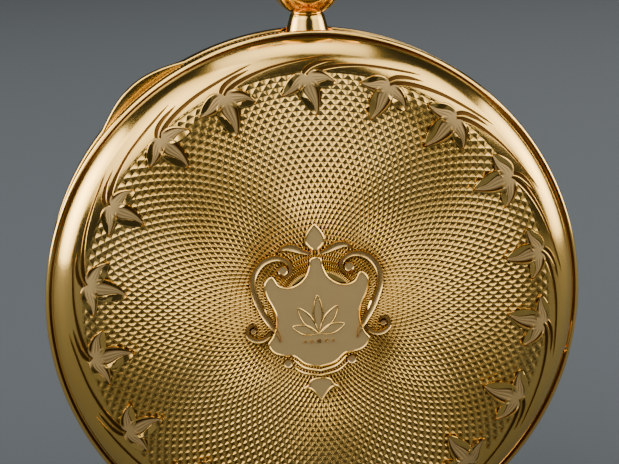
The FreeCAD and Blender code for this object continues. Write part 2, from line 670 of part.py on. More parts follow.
def balance_wheel():
    """Rim and crossbar of the balance."""
    low, high = 6.95, 7.45
    rim = ring(BALANCE_R - 0.75, BALANCE_R, low, high, BALANCE)
    bar = strap(step(BALANCE, BALANCE_R - 0.4, 30), step(BALANCE, BALANCE_R - 0.4, 210), 1.0, low, high - 0.2)
    bar = bar.common(disc(BALANCE_R - 0.1, low, high, BALANCE))
    body = rim.fuse([bar, disc(1.0, low, high, BALANCE)])
    return body.cut(disc(ARBOR_R, 6, 8, BALANCE)).removeSplitter()


def balance_screws():
    """Timing screws round the rim."""
    count = 14
    screws = []
    for index in range(count):
        turn = 30 + (index + 0.5) * 360 / count
        start = step(BALANCE, BALANCE_R + 0.02, turn)
        end = step(BALANCE, BALANCE_R + 0.4, turn)
        screws.append(rod(0.22, (*start, 7.2), (*end, 7.2)))
    return Part.makeCompound(screws)


def balance_staff():
    """The balance's staff."""
    return arbor(BALANCE)


def roller_table():
    """Roller with its impulse pin, between the fork's horns."""
    pin_at = step(BALANCE, 0.95, bearing(BALANCE, PALLET))
    return ring(ARBOR_R, 1.4, 6.55, 6.8, BALANCE).fuse(disc(0.16, 6.2, 6.6, pin_at)).removeSplitter()


def hairspring():
    """Flat balance spring."""
    return spiral(0.6, 3.9, 10, 0.07, 7.65, 7.85, BALANCE, 24)


def regulator():
    """Index lever on the cock."""
    body = ring(1.0, 1.7, BRIDGE_HIGH + 0.03, 9.25, BALANCE)
    pointer = strap(step(BALANCE, 1.4, 96), step(BALANCE, 5.6, 96), 0.5, BRIDGE_HIGH + 0.03, 9.25)
    return body.fuse(pointer.cut(disc(1.0, 8, 10, BALANCE))).removeSplitter()


# ---------------------------------------------------------------- winding and setting

def ratchet_wheel():
    """Ratchet wheel on the barrel arbor."""
    wheel = gear(RATCHET_T, WINDING_M, 8.55, 8.98, BARREL, bearing(BARREL, CROWN_WHEEL) + 180 / RATCHET_T)
    return wheel.cut(disc(0.5, 8, 10, BARREL))


def ratchet_screw():
    """Screw that holds the ratchet wheel down on its arbor."""
    return screw(BARREL, 9.0, 9.02, 1.1, 0.4, 0.4)


def crown_wheel():
    """Crown wheel, turned by the winding pinion."""
    wheel = gear(CROWN_WHEEL_T, WINDING_M, 8.55, 8.98, CROWN_WHEEL, bearing(CROWN_WHEEL, BARREL))
    return wheel.cut(disc(0.45, 8, 10, CROWN_WHEEL))


def crown_wheel_screw():
    """Screw that the crown wheel turns on."""
    return screw(CROWN_WHEEL, 8.15, 9.02, 1.0, 0.4, 0.4)


def click():
    """Pawl that rests beside the ratchet wheel's teeth."""
    beak = step(BARREL, 6.4, bearing(BARREL, CLICK) + 9)
    tip = step(BARREL, 6.05, bearing(BARREL, CLICK) + 12)
    arm = strap(CLICK, beak, 0.7, 8.58, 8.93).fuse(plate([CLICK, beak, tip], 8.58, 8.93))
    arm = arm.cut(disc(6.04, 8, 10, BARREL))
    return arm.fuse([disc(0.75, 8.58, 8.93, CLICK), disc(0.27, 8.2, 8.7, CLICK)]).removeSplitter()


def click_spring():
    """Bent wire that presses on the click."""
    outer, inner = 1.9, 1.7
    wire = ring(inner, outer, 8.6, 8.8, CLICK)
    keep = plate([CLICK, step(CLICK, 4, -60), step(CLICK, 4, 0), step(CLICK, 4, 60)], 8.6, 8.8)
    foot = disc(0.3, BRIDGE_HIGH - 0.5, 8.8, step(CLICK, 1.8, -55))
    return wire.common(keep).fuse(foot).removeSplitter()


def winding_pinion():
    """Pinion on the stem, under the edge of the crown wheel."""
    pinion = gear(WINDING_PINION_T, 0.218, -0.95, 0.95)
    pinion = pinion.cut(disc(STEM_R + 0.05, -2, 2))
    pinion.rotate(V(0, 0, 0), V(1, 0, 0), -90)
    pinion.translate(V(0, WINDING_Y, STEM_H))
    return pinion


def sliding_pinion():
    """Clutch pinion on the stem's square."""
    pinion = gear(14, 0.2, -0.75, 0.75)
    pinion = pinion.cut(disc(STEM_R + 0.05, -2, 2))
    pinion.rotate(V(0, 0, 0), V(1, 0, 0), -90)
    pinion.translate(V(0, WINDING_Y - 2.0, STEM_H))
    return pinion


def setting_lever():
    """Lever on the dial side whose pin sits in the stem's groove."""
    arm = strap(LEVER, (0, LEVER[1]), 0.9, 3.45, 3.85)
    post = disc(0.35, 3.85, 5.1, LEVER)
    pin = disc(0.25, 3.85, 5.7, (0, LEVER[1]))
    return arm.fuse([disc(0.8, 3.45, 3.85, LEVER), post, pin]).removeSplitter()


# ---------------------------------------------------------------- assembly

def place(shape):
    """Stands a piece up from the bench frame."""
    shape.rotate(V(0, 0, 0), V(1, 0, 0), 90)
    return shape


def pieces():
    """Every piece of the watch by name, in the bench frame."""
    return {
        "case_middle": case_middle(), "pendant": pendant(), "bow": bow(), "bow_screws": bow_screws(),
        "crown": crown(), "winding_stem": winding_stem(), "back_cover": back_cover(),
        "dust_cover": dust_cover(), "bezel": bezel(), "crystal": crystal(),
        "back_cover_hinge_pin": hinge_pin(BACK_HINGE, BACK_BARREL),
        "dust_cover_hinge_pin": hinge_pin(DUST_HINGE, DUST_BARREL),
        "bezel_hinge_pin": hinge_pin(BEZEL_HINGE, BEZEL_BARREL),
        "dial": dial(), "seconds_dial": seconds_dial(),
        "minute_hand": hand(CENTRE, 15.6, 3.0, 0.9, 1.0, 0.68, 1.55, 1.7, 60),
        "hour_hand": hand(CENTRE, 10.6, 0, 1.3, 1.5, 1.05, 1.95, 2.1, 305),
        "seconds_hand": hand(FOURTH, 3.7, 1.3, 0.3, 0.45, 0.15, 2.2, 2.35, 150),
        "hour_wheel": hour_wheel(), "cannon_pinion": cannon_pinion(), "minute_wheel": minute_wheel(),
        "mainplate": mainplate(), "barrel_bridge": barrel_bridge(), "train_bridge": train_bridge(),
        "balance_cock": balance_cock(), "pallet_bridge": pallet_bridge(),
        "bridge_screws": bridge_screws(), "case_screws": case_screws(),
        "bridge_jewels": bridge_jewels(), "plate_jewels": plate_jewels(),
        "barrel_drum": barrel_drum(), "barrel_lid": barrel_lid(), "barrel_arbor": barrel_arbor(),
        "mainspring": mainspring(), "centre_arbor": centre_arbor(),
        "centre_wheel": going_wheel(CENTRE_T, CENTRE_M, 5.8, 6.0, CENTRE, bearing(CENTRE, THIRD), 5),
        "third_arbor": pinion_arbor(THIRD, THIRD_PINION_T, CENTRE_M, 5.78, 6.15, CENTRE),
        "third_wheel": going_wheel(THIRD_T, THIRD_M, 6.25, 6.45, THIRD, bearing(THIRD, FOURTH), 5),
        "fourth_arbor": fourth_arbor(),
        "fourth_wheel": going_wheel(FOURTH_T, FOURTH_M, 7.0, 7.2, FOURTH, bearing(FOURTH, ESCAPE), 5),
        "escape_arbor": pinion_arbor(ESCAPE, ESCAPE_PINION_T, FOURTH_M, 6.8, 7.4, FOURTH),
        "escape_wheel": escape_wheel(), "pallet_fork": pallet_fork(), "pallet_stones": pallet_stones(),
        "balance_wheel": balance_wheel(), "balance_screws": balance_screws(),
        "balance_staff": balance_staff(), "roller_table": roller_table(), "hairspring": hairspring(),
        "regulator": regulator(), "ratchet_wheel": ratchet_wheel(), "ratchet_screw": ratchet_screw(),
        "crown_wheel": crown_wheel(), "crown_wheel_screw": crown_wheel_screw(), "click": click(),
        "click_spring": click_spring(), "winding_pinion": winding_pinion(),
        "sliding_pinion": sliding_pinion(), "setting_lever": setting_lever(),
    }


os.makedirs("parts", exist_ok=True)
for name, piece in pieces().items():
    place(piece).exportStep(f"parts/{name}.step")
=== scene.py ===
"""The looks of an open-face gold pocket watch, built round its fixed frame.

Lengths are millimetres on the bench: x right and y to the pendant as seen from the engraved back,
z the height above the flat of the crystal.  Piece.place() stands them up in the frame, in metres.
"""
import json
import logging
import math
from dataclasses import dataclass, field
from enum import Enum
from typing import Callable, Sequence

import bmesh
import bpy
from mathutils import Matrix, Vector


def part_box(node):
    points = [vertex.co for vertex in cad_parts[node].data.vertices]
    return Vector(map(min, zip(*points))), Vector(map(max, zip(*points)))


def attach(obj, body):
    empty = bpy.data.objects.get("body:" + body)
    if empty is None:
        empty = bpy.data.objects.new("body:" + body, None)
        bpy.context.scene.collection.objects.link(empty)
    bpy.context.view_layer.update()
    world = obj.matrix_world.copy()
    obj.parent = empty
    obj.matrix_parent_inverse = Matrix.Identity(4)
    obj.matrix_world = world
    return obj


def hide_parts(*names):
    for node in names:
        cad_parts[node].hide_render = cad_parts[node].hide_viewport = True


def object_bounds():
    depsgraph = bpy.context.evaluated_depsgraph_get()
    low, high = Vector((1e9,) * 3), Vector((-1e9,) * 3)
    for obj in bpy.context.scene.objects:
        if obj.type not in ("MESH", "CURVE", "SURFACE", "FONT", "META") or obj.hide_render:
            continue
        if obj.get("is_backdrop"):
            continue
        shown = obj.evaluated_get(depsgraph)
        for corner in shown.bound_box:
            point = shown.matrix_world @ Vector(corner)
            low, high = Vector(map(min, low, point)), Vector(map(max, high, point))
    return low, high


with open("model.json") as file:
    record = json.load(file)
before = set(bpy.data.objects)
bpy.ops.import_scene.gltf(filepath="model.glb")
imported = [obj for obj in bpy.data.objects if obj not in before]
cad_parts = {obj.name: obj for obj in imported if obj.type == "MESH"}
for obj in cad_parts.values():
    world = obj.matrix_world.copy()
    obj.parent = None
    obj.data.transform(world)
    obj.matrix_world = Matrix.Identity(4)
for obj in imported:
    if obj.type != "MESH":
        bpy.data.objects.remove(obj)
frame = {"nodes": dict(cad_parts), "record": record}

LOG = logging.getLogger("watch")
MM = 0.001
TAU = 2 * math.pi
STAND_UP = Matrix.Rotation(math.pi / 2, 4, "X") @ Matrix.Scale(MM, 4)
Point = tuple[float, float]
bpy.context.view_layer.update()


# ------------------------------------------------------------------ frame

@dataclass(frozen=True)
class Extent:
    """A CAD node's box on the bench, in millimetres."""

    low: Vector
    high: Vector

    @classmethod
    def of(cls, node: str) -> "Extent":
        """Read a node's box from the frame.

        Args:
            node: the CAD node's name.

        Returns:
            The box with y to the pendant and z towards the engraved back.
        """
        low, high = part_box(node)
        return cls(Vector((low.x, low.z, -high.y)) / MM, Vector((high.x, high.z, -low.y)) / MM)

    @property
    def middle(self) -> Vector:
        """The middle of the box."""
        return (self.low + self.high) / 2


def polar(radius: float, degrees: float) -> Vector:
    """A point in the bench plane from a radius and a direction."""
    turn = math.radians(degrees)
    return Vector((radius * math.cos(turn), radius * math.sin(turn), 0))


def blend_value(low: float, high: float, share: float) -> float:
    """Straight mix of two numbers."""
    return low + (high - low) * share


def smooth_step(low: float, high: float, value: float) -> float:
    """Smooth rise from 0 at low to 1 at high."""
    share = min(max((value - low) / (high - low), 0), 1)
    return share * share * (3 - 2 * share)


# ------------------------------------------------------------------ shader maths

class Value:
    """A socket that arithmetic can be written on."""

    def __init__(self, board: "Board", socket: bpy.types.NodeSocket) -> None:
        """Wrap a socket of a board."""
        self.board = board
        self.socket = socket

    def _math(self, operation: str, first: object, second: object) -> "Value":
        """Add one Math node.

        Args:
            operation: the node's operation.
            first: a number or a Value.
            second: a number or a Value.

        Returns:
            The node's result.
        """
        node = self.board.node("ShaderNodeMath", {"operation": operation}, {0: first, 1: second})
        return Value(self.board, node.outputs[0])

    def __add__(self, other: object) -> "Value":
        """self + other."""
        return self._math("ADD", self, other)

    def __radd__(self, other: object) -> "Value":
        """other + self."""
        return self._math("ADD", other, self)

    def __sub__(self, other: object) -> "Value":
        """self - other."""
        return self._math("SUBTRACT", self, other)

    def __rsub__(self, other: object) -> "Value":
        """other - self."""
        return self._math("SUBTRACT", other, self)

    def __mul__(self, other: object) -> "Value":
        """self * other."""
        return self._math("MULTIPLY", self, other)

    def __rmul__(self, other: object) -> "Value":
        """other * self."""
        return self._math("MULTIPLY", other, self)

    def clamped(self) -> "Value":
        """The value held between 0 and 1."""
        node = self.board.node("ShaderNodeClamp", {}, {"Value": self})
        return Value(self.board, node.outputs[0])


class Board:
    """One material's node tree, with its shader."""

    def __init__(self, name: str) -> None:
        """Start a material.

        Args:
            name: the material's name.
        """
        self.material = bpy.data.materials.new(name)
        self.material.use_nodes = True
        self.tree = self.material.node_tree
        self.shader = self.tree.nodes["Principled BSDF"]

    def node(self, kind: str, settings: dict, inputs: dict) -> bpy.types.Node:
        """Add a node.

        Args:
            kind: the node's type.
            settings: attributes to set first.
            inputs: socket name or index to a number, a colour, a vector or a Value.

        Returns:
            The new node.
        """
        node = self.tree.nodes.new(kind)
        for key, value in settings.items():
            setattr(node, key, value)
        self.feed(node, inputs)
        return node

    def feed(self, node: bpy.types.Node, inputs: dict) -> None:
        """Set or link a node's sockets."""
        for key, value in inputs.items():
            if isinstance(value, Value):
                self.tree.links.new(value.socket, node.inputs[key])
            else:
                node.inputs[key].default_value = value

    def place(self, scale: Sequence[float] = (1, 1, 1), turn: float = 0.0) -> Value:
        """Object coordinates, stretched and turned about the watch's depth axis."""
        coordinates = self.node("ShaderNodeTexCoord", {}, {})
        mapping = self.node("ShaderNodeMapping", {}, {
            "Vector": Value(self, coordinates.outputs["Object"]),
            "Scale": tuple(scale), "Rotation": (0, math.radians(turn), 0)})
        return Value(self, mapping.outputs[0])

    def noise(self, scale: float, detail: float = 3, where: Value | None = None) -> Value:
        """Noise with features of about 1/scale metres."""
        node = self.node("ShaderNodeTexNoise", {}, {
            "Vector": where or self.place(), "Scale": scale, "Detail": detail})
        return Value(self, node.outputs["Fac"])

    def attribute(self, name: str) -> Value:
        """A number stored on the mesh, 0 where there is none."""
        node = self.node("ShaderNodeAttribute", {"attribute_name": name}, {})
        return Value(self, node.outputs["Fac"])

    def mix(self, share: Value, first: object, second: object) -> Value:
        """Mix two colours."""
        node = self.node("ShaderNodeMix", {"data_type": "RGBA"}, {0: share, 6: first, 7: second})
        return Value(self, node.outputs[2])

    def bump(self, height: Value, distance: float, strength: float = 1.0) -> Value:
        """A normal from a height."""
        node = self.node("ShaderNodeBump", {}, {
            "Height": height, "Distance": distance, "Strength": strength})
        return Value(self, node.outputs[0])

    def dress(self, **inputs: object) -> bpy.types.Material:
        """Feed the shader.

        Args:
            inputs: the shader's sockets, with _ for a space.

        Returns:
            The finished material.
        """
        self.feed(self.shader, {key.replace("_", " "): value for key, value in inputs.items()})
        return self.material


# ------------------------------------------------------------------ finishes

@dataclass(frozen=True)
class Gold:
    """Yellow gold: polished or satin, with worn scratches, and dark dirt with painted shade in the cuts."""

    name: str
    clean: tuple = (0.96, 0.64, 0.19, 1)
    warm: tuple = (0.90, 0.54, 0.11, 1)
    # Colour of the dirt and painted shade in the cuts.
    dirt_and_shade: tuple = (0.10, 0.045, 0.01, 1)
    dull: tuple = (0.86, 0.70, 0.42, 1)
    roughness: float = 0.14
    satin_roughness: float = 0.56
    scratch: float = 0.06
    dirt_and_shade_gain: float = 1.0
    bump_mm: float = 0.004

    def material(self) -> bpy.types.Material:
        """Build the finish."""
        board = Board(self.name)
        patches = board.noise(140, 4)
        fine = board.noise(5200, 3)
        lines = board.noise(900, 2, board.place((1, 9, 1), 32))
        # Painted shade with some dirt: the mesh's mark darkens the gold in cuts, pits, grooves and creases.
        dirt_and_shade = (board.attribute("dirt_and_shade") * self.dirt_and_shade_gain).clamped()
        satin = board.attribute("satin")
        tone = board.mix((patches * 1.5 - 0.25).clamped(), self.clean, self.warm)
        tone = board.mix(satin * 0.55, tone, self.dull)
        colour = board.mix((dirt_and_shade * (0.9 + 0.9 * patches)).clamped(), tone, self.dirt_and_shade)
        rough = self.roughness + (lines - 0.5) * self.scratch + (patches - 0.5) * 0.08
        rough = rough + satin * (self.satin_roughness - self.roughness) + dirt_and_shade * 0.22
        height = fine * 0.5 + lines * (0.5 + satin)
        return board.dress(Base_Color=colour, Metallic=1.0, Roughness=rough.clamped(),
                           Normal=board.bump(height, self.bump_mm * MM))


@dataclass(frozen=True)
class Steel:
    """Steel or plated brass with a fine grain."""

    name: str
    colour: tuple
    shade: tuple
    roughness: float = 0.24
    stretch: tuple = (1, 1, 1)
    bump_mm: float = 0.002

    def material(self) -> bpy.types.Material:
        """Build the finish."""
        board = Board(self.name)
        patches = board.noise(260, 3)
        grain = board.noise(2600, 3, board.place(self.stretch))
        colour = board.mix(patches.clamped(), self.colour, self.shade)
        rough = self.roughness + (grain - 0.5) * 0.12
        return board.dress(Base_Color=colour, Metallic=1.0, Roughness=rough.clamped(),
                           Normal=board.bump(grain, self.bump_mm * MM))


@dataclass(frozen=True)
class StripedPlate:
    """Nickelled plate with broad damascened stripes."""

    name: str
    light: tuple = (0.78, 0.75, 0.70, 1)
    dark: tuple = (0.60, 0.57, 0.53, 1)
    stripe_mm: float = 1.6
    turn: float = 28.0

    def material(self) -> bpy.types.Material:
        """Build the finish."""
        board = Board(self.name)
        where = board.place(turn=self.turn)
        wave = board.node("ShaderNodeTexWave", {"wave_profile": "SAW", "bands_direction": "X"}, {
            "Vector": where, "Scale": TAU / (self.stripe_mm * MM) / 20, "Distortion": 0.0})
        stripe = Value(board, wave.outputs["Fac"])
        grain = board.noise(1800, 3, board.place((1, 1, 14), self.turn))
        colour = board.mix(stripe, self.light, self.dark)
        rough = 0.2 + stripe * 0.14 + (grain - 0.5) * 0.16
        height = stripe * 0.6 + grain * 0.4
        return board.dress(Base_Color=colour, Metallic=1.0, Roughness=rough.clamped(),
                           Normal=board.bump(height, 0.006 * MM))


@dataclass(frozen=True)
class Enamel:
    """Glossy fired enamel or its printing."""

    name: str
    colour: tuple
    roughness: float = 0.12

    def material(self) -> bpy.types.Material:
        """Build the finish."""
        board = Board(self.name)
        cloud = board.noise(90, 3)
        specks = board.noise(1500, 2)
        shade = tuple(channel * 0.94 for channel in self.colour[:3]) + (1,)
        colour = board.mix(cloud.clamped(), self.colour, shade)
        rough = self.roughness + (specks - 0.5) * 0.06
        return board.dress(Base_Color=colour, Roughness=rough.clamped(), Coat_Weight=0.6,
                           Normal=board.bump(cloud, 0.01 * MM))


@dataclass(frozen=True)
class Clear:
    """Glass or ruby."""

    name: str
    colour: tuple = (0.97, 0.99, 0.98, 1)
    index: float = 1.5
    see_through: float = 1.0

    def material(self) -> bpy.types.Material:
        """Build the finish."""
        board = Board(self.name)
        smear = board.noise(300, 4)
        rough = 0.01 + (smear - 0.45).clamped() * 0.10
        return board.dress(Base_Color=self.colour, Roughness=rough.clamped(), IOR=self.index,
                           Transmission_Weight=self.see_through)


@dataclass(frozen=True)
class Paper:
    """The plain floor."""

    name: str
    colour: tuple = (0.068, 0.084, 0.104, 1)

    def material(self) -> bpy.types.Material:
        """Build the finish."""
        board = Board(self.name)
        cloud = board.noise(3, 2)
        shade = tuple(channel * 0.95 for channel in self.colour[:3]) + (1,)
        return board.dress(Base_Color=board.mix(cloud, self.colour, shade), Roughness=0.8)


class Finish(Enum):
    """Every finish of the watch, by the record's material slot where it has one."""

    CASE = Gold("polished_gold")
    # The painted shade in the field's pits is set a little weaker.
    FIELD = Gold("field_gold", dirt_and_shade_gain=0.7, roughness=0.2)
    PINS = Gold("pin_gold", roughness=0.22)
    INSIDE = Gold("inside_gold", roughness=0.1, scratch=0.03)
    CRYSTAL = Clear("crystal_glass")
    RUBY = Clear("cut_ruby", (0.80, 0.03, 0.12, 1), 1.76, 0.55)
    ENAMEL = Enamel("fired_enamel", (0.90, 0.89, 0.84, 1))
    PRINT = Enamel("dial_print", (0.012, 0.012, 0.016, 1), 0.3)
    BLUED = Steel("heat_blued_steel", (0.03, 0.06, 0.24, 1), (0.05, 0.05, 0.32, 1), 0.16)
    STEEL = Steel("grained_steel", (0.62, 0.62, 0.63, 1), (0.50, 0.51, 0.53, 1), 0.22, (1, 6, 1))
    WHEEL = Steel("gilt_brass", (0.84, 0.62, 0.28, 1), (0.74, 0.50, 0.20, 1), 0.2)
    PLATE = StripedPlate("striped_nickel")
    FLOOR = Paper("floor_paper")

    @property
    def material(self) -> bpy.types.Material:
        """The finish's material, made once."""
        return bpy.data.materials.get(self.value.name) or self.value.material()


# ------------------------------------------------------------------ mesh work

class Profile:
    """A lathe outline of (radius, height) points made of lines and curves."""

    def __init__(self, radius: float, height: float) -> None:
        """Start the outline."""
        self.points: list[Point] = [(radius, height)]

    def line(self, radius: float, height: float, cuts: int = 1) -> "Profile":
        """Go straight to a point, with a few cuts on the way."""
        last_r, last_h = self.points[-1]
        for cut in range(1, cuts + 1):
            share = cut / cuts
            self.points.append((blend_value(last_r, radius, share), blend_value(last_h, height, share)))
        return self

    def curve(self, towards: Point, end: Point, cuts: int = 8) -> "Profile":
        """Go to a point along a curve that bends towards another."""
        start = self.points[-1]
        for cut in range(1, cuts + 1):
            share = cut / cuts
            self.points.append(tuple(
                (1 - share) ** 2 * a + 2 * share * (1 - share) * b + share ** 2 * c
                for a, b, c in zip(start, towards, end)))
        return self

    def bead(self, middle: Point, radius: float, start: float, end: float, cuts: int = 8) -> "Profile":
        """Add a round between two directions, in degrees."""
        for cut in range(cuts + 1):
            turn = math.radians(blend_value(start, end, cut / cuts))
            self.points.append((middle[0] + radius * math.cos(turn), middle[1] + radius * math.sin(turn)))
        return self


def lathe(profile: Profile, steps: int, closed: bool = True) -> bmesh.types.BMesh:
    """Spin an outline round the height axis.

    Args:
        profile: the outline.
        steps: segments round the axis.
        closed: whether the outline's end joins its start.

    Returns:
        The closed mesh, facing out.
    """
    bm = bmesh.new()
    verts = [bm.verts.new((radius, 0, height)) for radius, height in profile.points]
    for first, second in zip(verts, verts[1:]):
        bm.edges.new((first, second))
    if closed:
        bm.edges.new((verts[-1], verts[0]))
    bmesh.ops.spin(bm, geom=bm.verts[:] + bm.edges[:], cent=(0, 0, 0), axis=(0, 0, 1),
                   angle=TAU, steps=steps, use_merge=True)
    bmesh.ops.remove_doubles(bm, verts=bm.verts[:], dist=1e-5)
    loose = [edge for edge in bm.edges if not edge.link_faces]
    bmesh.ops.delete(bm, geom=loose, context="EDGES")
    face_out(bm)
    return bm


def face_out(bm: bmesh.types.BMesh) -> None:
    """Turn a closed mesh's faces outwards."""
    bmesh.ops.recalc_face_normals(bm, faces=bm.faces[:])
    if bm.calc_volume(signed=True) < 0:
        bmesh.ops.reverse_faces(bm, faces=bm.faces[:])


def lay_along_y(bm: bmesh.types.BMesh, height: float) -> bmesh.types.BMesh:
    """Turn a lathed piece so that its axis runs to the pendant at a height."""
    turn = Matrix.Translation((0, 0, height)) @ Matrix.Rotation(-math.pi / 2, 4, "X")
    bmesh.ops.transform(bm, matrix=turn, verts=bm.verts[:])
    return bm


def rod(start: Vector, end: Vector, radius: float, segments: int = 32, bevel: float = 0.0,
        tip_radius: float | None = None) -> bmesh.types.BMesh:
    """A rod between two points.

    Args:
        start: middle of the first end.
        end: middle of the other end.
        radius: radius at the first end.
        segments: segments round it.
        bevel: width of the bevel at both ends.
        tip_radius: radius at the other end, the same if None.

    Returns:
        The rod.
    """
    bm = bmesh.new()
    run = end - start
    bmesh.ops.create_cone(bm, cap_ends=True, segments=segments, radius1=radius,
                          radius2=radius if tip_radius is None else tip_radius, depth=run.length)
    if bevel:
        rims = [edge for edge in bm.edges if any(len(face.verts) > 4 for face in edge.link_faces)]
        bmesh.ops.bevel(bm, geom=rims, offset=bevel, segments=3, profile=0.5, affect="EDGES", material=-1)
    turn = run.to_track_quat("Z", "Y").to_matrix().to_4x4()
    bmesh.ops.transform(bm, matrix=Matrix.Translation((start + end) / 2) @ turn, verts=bm.verts[:])
    return bm


def merge(target: bmesh.types.BMesh, *others: bmesh.types.BMesh) -> bmesh.types.BMesh:
    """Put meshes into the first one."""
    for other in others:
        scrap = bpy.data.meshes.new("scrap")
        other.to_mesh(scrap)
        target.from_mesh(scrap)
        bpy.data.meshes.remove(scrap)
        other.free()
    return target


@dataclass
class Piece:
    """A finished mesh on its way into the frame."""

    name: str
    body: str
    slot: str
    finish: Finish
    replaces: tuple[str, ...] = ()
    sharp: float = 32.0

    def place(self, bm: bmesh.types.BMesh) -> bpy.types.Object:
        """Stand the mesh up in the frame and hand it to its body.

        Args:
            bm: the mesh on the bench; it is freed.

        Returns:
            The object.
        """
        bmesh.ops.transform(bm, matrix=STAND_UP, verts=bm.verts[:])
        mesh = bpy.data.meshes.new(self.name)
        bm.to_mesh(mesh)
        bm.free()
        mesh.shade_smooth()
        mesh.set_sharp_from_angle(angle=math.radians(self.sharp))
        mesh.materials.append(self.finish.material)
        thing = bpy.data.objects.new(self.name, mesh)
        bpy.context.scene.collection.objects.link(thing)
        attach(thing, self.body)
        if self.replaces:
            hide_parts(*self.replaces)
        LOG.info("%s: %d faces on %s", self.name, len(mesh.polygons), self.body)
        return thing


def drill(thing: bpy.types.Object, bit: bmesh.types.BMesh) -> None:
    """Cut a hole out of a placed piece.

    Args:
        thing: the piece.
        bit: what to cut away, on the bench; it is freed.
    """
    bmesh.ops.transform(bit, matrix=STAND_UP, verts=bit.verts[:])
    mesh = bpy.data.meshes.new("bit")
    bit.to_mesh(mesh)
    bit.free()
    tool = bpy.data.objects.new("bit", mesh)
    bpy.context.scene.collection.objects.link(tool)
    hole = thing.modifiers.new("hole", "BOOLEAN")
    hole.operation = "DIFFERENCE"
    hole.solver = "EXACT"
    hole.object = tool
    bpy.context.view_layer.update()
    cut = bpy.data.meshes.new_from_object(thing.evaluated_get(bpy.context.evaluated_depsgraph_get()))
    thing.modifiers.clear()
    bm = bmesh.new()
    bm.from_mesh(cut)
    face_out(bm)
    bm.to_mesh(cut)
    bm.free()
    thing.data = cut
    bpy.data.objects.remove(tool)


def join(thing: bpy.types.Object, extra: bmesh.types.BMesh, sharp: float = 32.0) -> None:
    """Add a solid to a placed piece.

    Args:
        thing: the piece.
        extra: what to add, on the bench; it is freed.
        sharp: edges steeper than this, in degrees, stay sharp.
    """
    bmesh.ops.transform(extra, matrix=STAND_UP, verts=extra.verts[:])
    bm = bmesh.new()
    bm.from_mesh(thing.data)
    merge(bm, extra)
    for face in bm.faces:
        face.smooth = True
    bm.to_mesh(thing.data)
    bm.free()
    thing.data.set_sharp_from_angle(angle=math.radians(sharp))


@dataclass(frozen=True)
class HingeLine:
    """A hinge: its pin in the frame, its barrels, and how far round from +x it is turned."""

    pin: str
    radius: float
    inner: float
    reach: float
    swing: float
    turn: float = -11.0
    slack: float = 0.1
    edge: float = 0.05
    band_reach: float = 5.6

    def rods(self, radius: float, spans: Sequence[Point], bevel: float = 0.0) -> bmesh.types.BMesh:
        """Rods round the pin.

        Args:
            radius: their radius.
            spans: each rod's two ends along the pin.
            bevel: width of the bevel at their ends.

        Returns:
            The rods in their place.
        """
        middle = Extent.of(self.pin).middle
        bm = bmesh.new()
        for low, high in spans:
            ends = [Vector((middle.xy.length, y, middle.z)) for y in (low, high)]
            merge(bm, rod(*ends, radius, bevel=bevel))
        bmesh.ops.transform(bm, matrix=Matrix.Rotation(math.radians(self.turn), 4, "Z"), verts=bm.verts[:])
        return bm

    def case_barrel(self) -> bmesh.types.BMesh:
        """The case's barrel."""
        return self.rods(self.radius, [(-self.inner, self.inner)], self.edge)

    def cover_barrels(self) -> bmesh.types.BMesh:
        """The cover's two barrels."""
        gap = self.inner + self.slack
        return self.rods(self.radius, [(-self.reach, -gap), (gap, self.reach)], self.edge)

    def room_in_cover(self) -> bmesh.types.BMesh:
        """What a cover's rim leaves free round the case's barrel."""
        gap = self.inner + self.slack
        return self.rods(self.swing, [(-gap, gap)])

    def room_in_band(self) -> bmesh.types.BMesh:
        """What the band leaves free for a swinging rim."""
        return self.rods(self.swing + 0.05, [(-self.band_reach, -self.inner), (self.inner, self.band_reach)])


class Hinge:
    """The three hinge lines."""

    BACK = HingeLine("back_cover_hinge_pin", 0.5, 1.5, 3.2, 0.85)
    DUST = HingeLine("dust_cover_hinge_pin", 0.4, 1.2, 3.5, 0.5)
    BEZEL = HingeLine("bezel_hinge_pin", 0.45, 1.5, 3.2, 0.75)


# ------------------------------------------------------------------ engraver's work

@dataclass(frozen=True)
class Section:
    """A cut's cross-section: (place across, height, dirt and painted shade, satin) from one side to the
    other.
    """

    marks: tuple[tuple[float, float, float, float], ...]


class Cut(Enum):
    """The engraver's cuts."""

    # The third figure darkens the gold: painted shade in the creases where a cut meets the surface and in its
    # grooves.
    RIDGE = Section(((-1, 0, 0.9, 0), (-0.7, 0.6, 0.1, 0), (0, 1, 0, 0), (0.7, 0.6, 0.1, 0), (1, 0, 0.9, 0)))
    STEM = Section(((-1, 0, 0.3, 0), (-0.86, 0.8, 0, 0), (-0.66, 0.5, 0.4, 0), (-0.56, 0.2, 1, 0),
                    (0, 0.1, 1, 0), (0.56, 0.2, 1, 0), (0.66, 0.5, 0.4, 0), (0.86, 0.8, 0, 0),
                    (1, 0, 0.3, 0)))
    SCROLL = Section(((-1, 0, 1, 0), (-0.82, 1, 0, 0), (-0.6, 0.75, 0.2, 0.4), (-0.3, 0.28, 0.45, 0.8),
                      (0.15, 0.3, 0.3, 0.8), (0.5, 0.7, 0.1, 0.4), (0.72, 1, 0, 0), (1, 0, 1, 0)))
    HAIR = Section(((-1, 0, 0.2, 0.5), (-0.45, 0.35, 0.0, 0), (0, 1, 0, 0), (0.45, 0.35, 0.35, 0),
                    (1, 0, 0.9, 0.5)))
    LEAF = Section(((-1, 0, 1, 0), (-0.93, 0.9, 0, 0), (-0.84, 1, 0, 0), (-0.66, 0.45, 0, 0),
                    (-0.6, 0.3, 1, 0.3), (-0.42, 0.4, 0.15, 1), (-0.2, 0.34, 0.5, 1), (-0.05, 0.4, 0.1, 1),
                    (0.12, 0.34, 0.5, 1), (0.28, 0.4, 0.1, 1), (0.46, 0.34, 0.45, 1), (0.7, 0.3, 1, 0.3),
                    (0.78, 1, 0, 0), (0.92, 0.9, 0, 0), (1, 0, 1, 0)))


